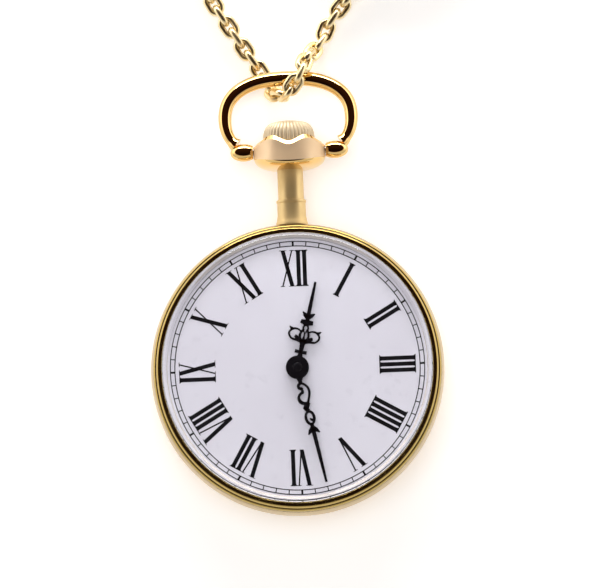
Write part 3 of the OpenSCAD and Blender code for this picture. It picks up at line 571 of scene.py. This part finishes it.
def chain_shape(line, seed, first_turn):
    """Links along the line, each a quarter turn from the one before; first_turn is 0 or 1 quarter turns."""
    dice = random.Random(seed)
    link = link_shape()
    frames = frames_along(line)
    distances = measured(line)
    start = LINK_PITCH / 2
    count = int((distances[-1] - LAST_LINK_GAP) / LINK_PITCH) + 1
    shapes = []
    k = 0
    for i in range(count):
        place = start + i * LINK_PITCH
        while distances[k + 1] < place:
            k += 1
        share = (place - distances[k]) / (distances[k + 1] - distances[k])
        centre = frames[k][0].lerp(frames[k + 1][0], share)
        tangent = frames[k][1].lerp(frames[k + 1][1], share).normalized()
        up = frames[k][2].lerp(frames[k + 1][2], share)
        twist = math.radians(90 * ((i + first_turn) % 2) + dice.uniform(-LINK_SWAY, LINK_SWAY))
        up = Matrix.Rotation(twist, 3, tangent) @ (up - tangent * up.dot(tangent)).normalized()
        pose = Matrix((tangent, up.cross(tangent), up)).transposed().to_4x4()
        pose.translation = centre
        shapes.append(moved(link, pose))
    return joined(*shapes)


meeting_point = (Vector(loop_route[-1]) + Vector(right_route[0])) / 2
loop_line = curve_through([meeting_point, *loop_route[::-1], *left_route], 8)
store_line = curve_through([meeting_point, *right_route], 8)[:-1]
store_line += coil_route() + curve_through(tail_route, 8)[1:]

short_chain = add_piece("chain_short", chain_shape(loop_line, 3, 0), chain_gold, "case",
                        replaces=("chain_loop", "chain_left"), smooth=60, ride=False)
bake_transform(short_chain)
long_chain = add_piece("chain_long", chain_shape(store_line, 5, 1), chain_gold, "case",
                       replaces=("chain_right", "chain_coil", "chain_tail"), smooth=60,
                       ride=False)
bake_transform(long_chain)


# Case

LINE_DEPTH = 0.12
GASKET_T = 0.05
SMOOTH_ROUND = 288
rim_in = dial_r + RIM_GAP
rim_out = rim_in + RIM_T


def case_band():
    """The band's bulged wall between its two gap lines, with the rim inside it."""
    edge = 0.06
    half = (middle_z1 - middle_z0) / 2
    bulge_r = arc_radius(half, case_r - bezel_r)
    spread = math.degrees(math.asin((half - edge) / bulge_r))
    profile = [(rim_in, middle_z0), (bezel_r - LINE_DEPTH, middle_z0)]
    profile += arc((case_r - bulge_r, stem_z), (bulge_r, bulge_r), -spread, spread, 24)
    profile += [(bezel_r - LINE_DEPTH, middle_z1), (rim_out, middle_z1), (rim_out, case_high.z),
                (rim_in, case_high.z)]
    return lathe(profile, SMOOTH_ROUND)


def bezel_ring():
    """The bezel, with a straight foot, a fine step and a rounded top that runs in to the crystal."""
    seat = crystal_r + 0.02
    foot, top = middle_z1 + 0.02, bezel_high.z
    step_w, step_z0, step_z1 = 0.4, 7.95, 8.44
    gap = 0.05
    profile = [(seat + 0.03, foot), (bezel_r - LINE_DEPTH, foot)]
    profile += [(bezel_r - 0.02, middle_z1 + 0.1), (bezel_r, middle_z1 + 0.25), (bezel_r, step_z0)]
    profile += arc((bezel_r - step_w - 0.02, step_z0), (step_w + 0.02, 0.5), 8, 80, 10)
    profile += [(bezel_r - step_w, step_z1 + 0.02)]
    profile += arc((bezel_r - 2 * step_w, step_z1), (step_w, top - step_z1), 4, 88, 12)
    profile += [(seat + 0.06, top), (seat, top - 0.06), (seat, crystal_low.z - GASKET_T)]
    profile += [(rim_in + 0.1, crystal_low.z - GASKET_T), (rim_in + 0.1, case_high.z + gap),
                (rim_out + gap, case_high.z + gap), (rim_out + gap, foot)]
    return lathe(profile, SMOOTH_ROUND)


def crystal_gasket():
    """The pale ring that the crystal's edge stands on, with a lip that slopes down to the dial."""
    top = crystal_low.z - GASKET_T / 10
    bottom = crystal_low.z - GASKET_T
    return lathe([(dial_r - 0.05, dial_top + 0.01), (dial_r + 0.12, case_high.z), (dial_r + 0.25, top),
                  (crystal_r, top), (crystal_r, bottom), (dial_r + 0.28, bottom),
                  (dial_r + 0.13, case_high.z - 0.1), (dial_r + 0.05, dial_top + 0.01)], 240)


def crystal_dome():
    """The domed crystal with its rounded shoulder, hollow underneath."""
    wall, shoulder_w, shoulder_h = 0.9, 1, 0.9
    dome_rise, inner_rise = 1, 0.8
    top = crystal_high.z
    shoulder = crystal_r - shoulder_w
    dome_r = arc_radius(shoulder, dome_rise)
    spread = math.degrees(math.asin(shoulder / dome_r))
    inner_top = top - wall
    inner_r = crystal_r - 0.85
    inner_dome_r = arc_radius(inner_r, inner_rise)
    inner_spread = math.degrees(math.asin(inner_r / inner_dome_r))
    profile = [(inner_r, crystal_low.z), (crystal_r, crystal_low.z)]
    profile += arc((shoulder, top - dome_rise - shoulder_h), (shoulder_w, shoulder_h), 0, 84, 16)
    profile += arc((0, top - dome_r), (dome_r, dome_r), 90 - spread, 90, 24)
    profile += arc((0, inner_top - inner_dome_r), (inner_dome_r, inner_dome_r), 90, 90 - inner_spread, 24)
    return lathe(profile, SMOOTH_ROUND)


add_piece("case_band", case_band(), band_gold_painted_shade, "case", ["case_middle"])
add_piece("bezel_ring", bezel_ring(), bezel_gold, "case", ["bezel"])
add_piece("crystal_gasket", crystal_gasket(), gasket_grey, "case")
add_piece("crystal_dome", crystal_dome(), crystal_clear, "case", ["crystal"])


# Dial: white plate, printed minute track and Roman numerals

DIAL_T = 0.4
DIAL_HOLE_R = 1.1
TRACK_OUT = 18.13
TRACK_IN = 17.46
TRACK_LINE = 0.14
NUMERAL_IN = 11.66
NUMERAL_OUT = 16.86
LETTER_H = NUMERAL_OUT - NUMERAL_IN
INK_T = 0.02
STEM_W = 0.58
STEM_PITCH = 0.86
WIDE_LETTER = 2.25
HAIR_W = 0.2
SERIF_T = 0.09
NUMERALS = ["XII", "I", "II", "III", "IIII", "V", "VI", "VII", "VIII", "IX", "X", "XI"]


def stem_outline(x):
    """An upright stem with bracketed serifs, centred on x, from the numeral's foot to its head."""
    half = STEM_W / 2
    right = [(half + 0.2, 0), (half + 0.2, SERIF_T), (half + 0.05, SERIF_T + 0.1), (half, SERIF_T + 0.3)]
    right += [(px, LETTER_H - py) for px, py in reversed(right)]
    return [(x + px, py) for px, py in right] + [(x - px, py) for px, py in reversed(right)]


def slanted(x_foot, x_head, width):
    """A slanting stroke from the foot to the head of a letter."""
    half = width / 2
    foot, head = 0.03, LETTER_H - 0.03
    return [(x_foot - half, foot), (x_foot + half, foot), (x_head + half, head), (x_head - half, head)]


def serif(x, y, half):
    """A serif bar with its upper corners cut off."""
    thick = SERIF_T / 2
    flat, shoulder, peak = half * 0.6, y + thick * 0.6, y + thick * 1.3
    return [(x - half, y - thick), (x + half, y - thick), (x + half, shoulder), (x + flat, peak),
            (x - flat, peak), (x - half, shoulder)]


def letter(kind, x):
    """Outlines of one letter whose left edge is at x."""
    foot = SERIF_T / 2
    head = LETTER_H - foot
    if kind == "I":
        return [stem_outline(x + STEM_PITCH / 2)]
    if kind == "V":
        return [slanted(x + 1.42, x + 0.45, STEM_W), slanted(x + 1.5, x + 1.95, HAIR_W),
                serif(x + 0.45, head, 0.52), serif(x + 1.95, head, 0.34)]
    return [slanted(x + 1.72, x + 0.5, STEM_W), slanted(x + 0.35, x + 1.8, HAIR_W),
            serif(x + 0.5, head, 0.52), serif(x + 1.8, head, 0.34),
            serif(x + 1.72, foot, 0.52), serif(x + 0.35, foot, 0.32)]


def numeral(letters, hour):
    """A numeral with its feet towards the dial's centre, at its hour."""
    widths = [STEM_PITCH if kind == "I" else WIDE_LETTER for kind in letters]
    x = -sum(widths) / 2
    outlines = []
    for kind, width in zip(letters, widths):
        outlines += letter(kind, x)
        x += width
    shapes = [slab([(px, py + NUMERAL_IN) for px, py in outline], dial_top, dial_top + INK_T)
              for outline in outlines]
    return clockwise(joined(*shapes), hour * 30)


def minute_track():
    """Two thin rings with a tick across them at each minute, broader at the hours."""
    shapes = [washer(radius - TRACK_LINE / 2, radius + TRACK_LINE / 2, dial_top, dial_top + INK_T)
              for radius in (TRACK_IN, TRACK_OUT)]
    for minute in range(60):
        half = 0.14 if minute % 5 == 0 else 0.07
        tick = [(-half, TRACK_IN), (half, TRACK_IN), (half, TRACK_OUT), (-half, TRACK_OUT)]
        shapes.append(clockwise(slab(tick, dial_top, dial_top + INK_T), minute * 6))
    return joined(*shapes)


dial_plate = washer(DIAL_HOLE_R, dial_r, dial_top - DIAL_T, dial_top)
add_piece("dial_plate", dial_plate, enamel, "case", ["dial"])
add_piece("minute_track", minute_track(), ink, "case", smooth=30)
for hour, letters in enumerate(NUMERALS):
    add_piece(f"numeral_{hour or 12}", numeral(letters, hour), ink, "case", smooth=30)


# Hands: pierced scrollwork, drawn pointing to 12 and then turned to the time

HOUR_LENGTH = 12.5
MINUTE_LENGTH = 16.9
MINUTE_ANGLE = 6 * MINUTES_SHOWN
HOUR_ANGLE = MINUTE_ANGLE / 12
HUB_R = 1.65
CAP_R = 0.75
BOLDNESS = 1.22
hour_low, hour_high = node_box("hour_hand")
minute_low, minute_high = node_box("minute_hand")
arbor_top = node_box("centre_wheel")[1].z + 0.03


def mirrored(points):
    """The points and their mirror image across the hand's line."""
    return [points, [(-x, y) for x, y in points]]


def hub_edge(z0, z1):
    """Profile of the boss of a hand: a turned disc with a rounded upper edge."""
    return [(HUB_R, z0), (HUB_R, z1 - 0.08), (HUB_R - 0.03, z1 - 0.03), (HUB_R - 0.1, z1)]


def open_hub(z0, z1, hole):
    """A boss with a hole through it."""
    return lathe([(hole, z0), *hub_edge(z0, z1), (hole, z1)], 64)


def capped_hub(z0, z1, hole):
    """A boss that is closed over the arbor by a low dome."""
    profile = [(0, arbor_top), (hole, arbor_top), (hole, z0), *hub_edge(z0, z1), (CAP_R, z1)]
    profile += arc((0, z1), (CAP_R - 0.05, arbor_top + 0.15 - z1), 0, 90, 8)
    return lathe(profile, 64, closed=False)


def drawn(strokes, z0, z1):
    """All the hand's strokes as flat bars."""
    return [stroke(points, [BOLDNESS * width for width in widths], z0, z1) for points, widths in strokes]


def hour_hand_shape(z0, z1):
    """Neck, crossbar, trefoil with two side loops and small openings, second crossbar, arrow and needle."""
    strokes = [([(0, 1.4), (0, 2.2), (0, 3.4)], [0.75, 0.45, 0.6])]
    strokes.append(([(-0.85, 2.28), (0, 2.24), (0.85, 2.28)], [0.42, 0.34, 0.42]))
    strokes.append(([(0, 3.3), (0, 3.9)], [0.55, 1.0]))
    for points in mirrored([(0.05, 3.75), (0.5, 4.15), (0.62, 4.7), (0.42, 5.3), (0.2, 5.6)]):
        strokes.append((points, [0.4, 0.3, 0.28, 0.24, 0.24]))
    strokes.append(([(0, 3.8), (0, 4.6), (0, 5.15)], [0.45, 0.16, 0.22]))
    for points in mirrored([(0.15, 5.15), (0.34, 5.55), (0.3, 5.95), (0.05, 6.3)]):
        strokes.append((points, [0.22, 0.22, 0.22, 0.3]))
    side_loop = [(0.2, 3.8), (0.95, 3.88), (1.7, 3.95), (2.16, 4.5),
                 (2.08, 5.0), (1.6, 5.38), (1.0, 5.4), (0.5, 5.15)]
    for points in mirrored(side_loop):
        strokes.append((points, [0.5, 0.3, 0.22, 0.24, 0.24, 0.26, 0.2, 0.2]))
    for points in mirrored([(1.75, 5.3), (2.05, 5.42), (2.3, 5.62)]):
        strokes.append((points, [0.3, 0.3, 0.1]))
    for points in mirrored([(0.75, 4.0), (1.05, 4.3), (1.3, 4.42)]):
        strokes.append((points, [0.4, 0.42, 0.3]))
    strokes.append(([(-0.9, 6.62), (-0.4, 6.56), (0, 6.55), (0.4, 6.56), (0.9, 6.62)],
                    [0.45, 0.62, 0.8, 0.62, 0.45]))
    strokes.append(([(0, 6.7), (0, 7.2), (0, 7.6)], [0.4, 0.5, 0.9]))
    for points in mirrored([(0.12, 7.3), (0.5, 7.65), (0.88, 7.98)]):
        strokes.append((points, [0.5, 0.46, 0.12]))
    strokes.append(([(0, 7.5), (0, 10), (0, HOUR_LENGTH)], [0.48, 0.4, 0.27]))
    return joined(open_hub(z0, z1, 1.0), *drawn(strokes, z0, z1))


def minute_hand_shape(z0, z1):
    """Neck, an open scroll, a knot, a small ring, arrow and needle, on a boss that hides the arbor."""
    strokes = [([(0.05, 1.4), (0.12, 2.0), (0.15, 2.4)], [0.9, 0.5, 0.42])]
    strokes.append(([(0.25, 2.25), (-0.3, 2.6), (-0.72, 3.2), (-0.76, 3.9), (-0.5, 4.7), (-0.2, 5.35)],
                    [0.3, 0.26, 0.28, 0.3, 0.28, 0.3]))
    strokes.append(([(0.1, 2.35), (0.5, 2.55), (0.52, 2.95), (0.2, 3.15), (0.0, 3.05)],
                    [0.3, 0.34, 0.36, 0.34, 0.2]))
    strokes.append(([(0.3, 3.0), (0.15, 3.4), (0.2, 3.75)], [0.34, 0.3, 0.4]))
    strokes.append(([(0.1, 3.7), (0.55, 3.85), (0.88, 4.3), (0.8, 4.9), (0.4, 5.25), (-0.05, 5.3)],
                    [0.34, 0.3, 0.34, 0.44, 0.4, 0.3]))
    strokes.append(([(-0.35, 5.3), (0.1, 5.75), (0.45, 6.15)], [0.4, 0.66, 0.5]))
    strokes.append(([(0.5, 5.9), (0.2, 6.2), (-0.15, 6.45)], [0.3, 0.5, 0.4]))
    strokes.append((arc((0.02, 7.45), (0.58, 0.92), -86, 274, 12), [0.3, 0.34, 0.3, 0.34, 0.3]))
    strokes.append(([(-0.4, 7.9), (-0.1, 7.75), (0.05, 7.5)], [0.4, 0.3, 0.12]))
    strokes.append(([(0, 8.2), (0, 8.7), (0, 9.5)], [0.4, 0.46, 0.6]))
    for points in mirrored([(0.08, 8.85), (0.42, 9.3), (0.84, 9.78)]):
        strokes.append((points, [0.4, 0.5, 0.12]))
    strokes.append(([(0, 9.2), (0, 13), (0, MINUTE_LENGTH)], [0.5, 0.42, 0.28]))
    return joined(capped_hub(z0, z1, 0.55), *drawn(strokes, z0, z1))


hour_shape = clockwise(hour_hand_shape(hour_low.z, hour_high.z), HOUR_ANGLE)
minute_shape = clockwise(minute_hand_shape(minute_low.z, minute_high.z), MINUTE_ANGLE)
add_piece("hour_pointer", hour_shape, hand_black, "hour", ["hour_hand"], smooth=30)
add_piece("minute_pointer", minute_shape, hand_black, "minute", ["minute_hand"], smooth=30)


# Pendant, crown and bow

def tube_profile():
    """The neck: a flared foot on the band, a thin step ring and the narrower upper part."""
    foot, top = bezel_r + 0.2, head_low.y
    bore, foot_r, lower_r, ring_r, upper_r = 1.0, 2.3, 2.05, 2.15, 1.85
    return [(bore, foot), (1.6, foot), (foot_r, foot), (foot_r, 21.05), (2.2, 21.3), (2.12, 21.7),
            (lower_r, 22.2), (lower_r, 23.95), (2.13, 24.0), (ring_r, 24.12), (ring_r, 24.3), (2.11, 24.38),
            (1.9, 24.45), (upper_r, 24.6), (upper_r, top), (bore, top)]


def head_rim(angle):
    """Height along the stem of the scalloped rim, with a valley at the front and back and four crests."""
    valley, crest, end = 32.46, head_high.y, 32.62
    crest_at = 0.54
    across = abs(math.cos(angle))
    if across < crest_at:
        share = (1 - math.cos(math.pi * across / crest_at)) / 2
        return valley + (crest - valley) * share ** 0.9
    share = (1 - math.cos(math.pi * (across - crest_at) / (1 - crest_at))) / 2
    return crest + (end - crest) * share


def head_foot(angle):
    """Height along the stem where the satin wall ends: lower at the front and back than at the sides."""
    at_sides, drop = 30.4, 0.75
    return at_sides - drop * math.sin(angle) ** 2


def head_shape():
    """The crown's cup: a satin wall between a polished underside and a polished, chamfered rim.

    Returns the shape and, for each of its faces, whether it is polished.
    """
    outer, low = head_high.x, head_low.y
    bore, neck_r = 1.2, 1.9
    cup, cup_floor = crown_high.x + 0.3, 31.3
    chamfer_h, chamfer_r = 0.55, 0.4
    rim_steps = [(outer, -chamfer_h), (outer - 0.03, 0.06 - chamfer_h), (outer - chamfer_r + 0.03, -0.06),
                 (outer - chamfer_r, 0.0), (cup + 0.1, -0.02), (cup, -0.12)]
    chamfer_faces = 3
    steps = 192
    vertices = []
    for i in range(steps):
        angle = TURN * i / steps
        rim, foot = head_rim(angle), head_foot(angle)
        wall_h = rim - chamfer_h - foot
        underside = arc((neck_r, foot - 0.1), (outer - neck_r - 0.05, foot - 0.1 - low), -85, -8, 8)
        section = [(bore, low), *underside, (outer, foot)]
        section += [(outer, foot + wall_h * share) for share in (0.04, 0.35, 0.65, 0.96)]
        section += [(radius, rim + drop) for radius, drop in rim_steps]
        section += [(cup, cup_floor), (bore, cup_floor)]
        vertices += [(r * math.cos(angle), r * math.sin(angle), h) for r, h in section]
    columns = len(section)
    faces = quads(steps, columns, True, True)
    wall_first, rim_first = len(underside) + 1, columns - 2 - len(rim_steps)
    polished = []
    for index in range(len(faces)):
        column = index % columns
        polished.append(column < wall_first or rim_first <= column < rim_first + chamfer_faces)
    return (vertices, faces), polished


CROWN_FLUTES = 40
FLUTE_DEPTH = 0.17
DOME_FLUTE_DEPTH = 0.05


def crown_shape():
    """The fluted crown with a domed end; its flutes fade out towards the middle of the dome."""
    r = crown_high.x
    y0, y1 = crown_low.y, crown_high.y
    dome_w, dome_y = 1.5, y0 + 1.6
    profile = [(0.7, y0), (r - 0.2, y0), (r, y0 + 0.2), (r, y0 + 0.9), (r, dome_y)]
    profile += arc((r - dome_w, dome_y), (dome_w, y1 - dome_y - 0.3), 10, 78, 10)
    profile += [(1.6, y1 - 0.16), (0.9, y1 - 0.05), (0.0, y1)]
    steps = CROWN_FLUTES * 10

    def flute(radius, height, angle):
        fade = max(0.0, min(1.0, (radius - 1.2) / 1.2)) if height > y0 else 0.0
        depth = fade * (1 - abs(math.cos(angle * CROWN_FLUTES / 2)) ** 0.6)
        dip = DOME_FLUTE_DEPTH if height > dome_y + 0.1 else 0.0
        return radius - FLUTE_DEPTH * depth, height - dip * depth

    vertices, faces = lathe(profile, steps, closed=False, wobble=flute)
    base = [i * len(profile) for i in range(steps)]
    return vertices, faces + [base]


def bow_line():
    """The middle line of the bow's wire in its own plane, from the right knob to the left one."""
    half_w = bow_high.x - BOW_SIDE_R
    bend_w, bend_h = 2.6, 3.95
    lower = arc((half_w - bend_w, BOW_WIDEST), (bend_w, bend_h), -66, 0, 16)
    upper = []
    steps = 32
    for i in range(1, steps + 1):
        angle = math.pi / 2 * i / steps
        x = half_w * math.cos(angle) ** (2 / BOW_FULLNESS)
        y = BOW_WIDEST + (bow_reach - BOW_WIDEST) * math.sin(angle) ** (2 / BOW_FULLNESS)
        upper.append((x, y))
    half = lower + upper
    return [Vector((x, y, 0)) for x, y in half] + [Vector((-x, y, 0)) for x, y in reversed(half[:-1])]


def bow_radii(line):
    """Thickest over the top, thinner down the sides, and flared where the wire runs into its knobs."""
    end_h, thinning, flare, flare_from = 3.6, 0.17, 0.3, 0.82
    radii = []
    for point in line:
        above = (point.y - BOW_WIDEST) / (bow_reach - BOW_WIDEST)
        below = min((BOW_WIDEST - point.y) / end_h, 1)
        if above > 0:
            radii.append(BOW_SIDE_R + (BOW_TOP_R - BOW_SIDE_R) * above)
        else:
            flared = max(0.0, below - flare_from) / (1 - flare_from)
            radii.append(BOW_SIDE_R - thinning * below + flare * flared)
    return radii


def knob_shape():
    """The egg-shaped knob at the right end of the bow, flat towards the head."""
    x0, x1 = head_high.x + 0.05, knob_high.x
    edge = 0.04
    thickest, swell_at, taper = 1.28, 0.38, 0.22
    profile = [(0.55, x0), (0.98, x0)]
    rings, sides = 24, 48
    for i in range(rings + 1):
        share = i / rings
        if share < swell_at:
            radius = thickest * (1 - taper * ((swell_at - share) / swell_at) ** 2)
        else:
            radius = thickest * math.sqrt(max(0.0, 1 - ((share - swell_at) / (1 - swell_at)) ** 2))
        profile.append((radius, x0 + edge + (x1 - x0 - edge) * share))
    vertices, faces = lathe(profile, sides, closed=False)
    flat_end = [i * len(profile) for i in range(sides)]
    return moved((vertices, faces + [flat_end]), Matrix.Rotation(math.pi / 2, 4, "Y"))


def mirror_x(shape):
    """The shape on the other side of the watch."""
    return moved(shape, Matrix.Scale(-1, 4, (1, 0, 0)))


add_piece("pendant_neck", on_stem(lathe(tube_profile(), 96)), neck_gold, "case", ["pendant_tube"])
head_mesh, head_polish = head_shape()
head_piece = add_piece("pendant_cup", on_stem(head_mesh), satin_gold, "case", ["pendant_head"])
head_piece.data.materials.append(gold)
for polygon, polished in zip(head_piece.data.polygons, head_polish):
    polygon.material_index = 1 if polished else 0
add_piece("crown_cap", on_stem(crown_shape()), crown_gold, "stem", ["crown"], smooth=60)
wire = bow_line()
bow_parts = joined(tube(wire, bow_radii(wire), 32), knob_shape(), mirror_x(knob_shape()))
add_piece("bow_ring", in_bow_plane(bow_parts), gold, "bow", ["bow", "bow_knobs"])


# Floor, lights and surroundings

FLOOR_HALF = 1500
FLOOR_GLOW = 0.36
TENT_LEAN = 0.24


def floor():
    """A large pale floor under the watch that glows a little, as a lit table does."""
    material, tree, shader = surface("floor", (0.93, 0.93, 0.93), roughness=0.6)
    shader.inputs["Emission Color"].default_value = (1, 0.985, 0.965, 1)
    shader.inputs["Emission Strength"].default_value = FLOOR_GLOW
    vary_roughness(tree, shader, noise_at(tree, 30), 0.55, 0.7)
    mesh = bpy.data.meshes.new("floor")
    corners = [Vector((x, y, 0)) * FLOOR_HALF for x, y in ((-1, -1), (1, -1), (1, 1), (-1, 1))]
    mesh.from_pydata([corner * MM for corner in corners], [], [[0, 1, 2, 3]])
    mesh.materials.append(material)
    piece = bpy.data.objects.new("floor", mesh)
    bpy.context.scene.collection.objects.link(piece)


def soft_box(name, place, target, size, power, mirrored_in_metal=True):
    """A rectangular lamp at a place, facing the target, all in millimetres; power is in watts."""
    lamp = bpy.data.lights.new(name, "AREA")
    lamp.shape = "RECTANGLE"
    lamp.size, lamp.size_y = size[0] * MM, size[1] * MM
    lamp.energy = power
    stand = bpy.data.objects.new(name, lamp)
    bpy.context.scene.collection.objects.link(stand)
    stand.location = Vector(place) * MM
    stand.rotation_euler = (Vector(target) - Vector(place)).to_track_quat("-Z", "Y").to_euler()
    stand.visible_camera = False
    stand.visible_glossy = mirrored_in_metal
    stand.visible_transmission = mirrored_in_metal


def surroundings():
    """A white tent that is open and dark overhead, brightest beyond 12 o'clock and dimmer towards 6."""
    world = bpy.data.worlds.new("tent")
    bpy.context.scene.world = world
    world.use_nodes = True
    tree = world.node_tree
    background = tree.nodes["Background"]
    place = tree.nodes.new("ShaderNodeTexCoord")
    split = tree.nodes.new("ShaderNodeSeparateXYZ")
    tree.links.new(place.outputs["Generated"], split.inputs["Vector"])
    lean = node_of(tree, "ShaderNodeMath", operation="MULTIPLY_ADD")
    lean.inputs[1].default_value = TENT_LEAN
    tree.links.new(split.outputs["Y"], lean.inputs[0])
    tree.links.new(split.outputs["Z"], lean.inputs[2])
    walls = remapped(tree, lean.outputs["Value"], (0.48, 0.60), (1.0, 0.012), "SMOOTHSTEP")
    ends = remapped(tree, split.outputs["Y"], (-0.5, 0.6), (0.75, 2.4), "SMOOTHSTEP")
    strength = node_of(tree, "ShaderNodeMath", operation="MULTIPLY")
    tree.links.new(walls, strength.inputs[0])
    tree.links.new(ends, strength.inputs[1])
    tree.links.new(strength.outputs["Value"], background.inputs["Strength"])
    tint = colour_ramp(tree, walls, (1, 0.35, 0.16), (1, 0.985, 0.96))
    tree.links.new(tint, background.inputs["Color"])


floor()
surroundings()
soft_box("back_light", place=(0, 560, 190), target=(0, 0, 5), size=(560, 120), power=2.6)
soft_box("over_light", place=(-60, 40, 700), target=(0, 10, 5), size=(500, 500), power=2.2,
         mirrored_in_metal=False)
bpy.context.scene.view_settings.view_transform = "Standard"
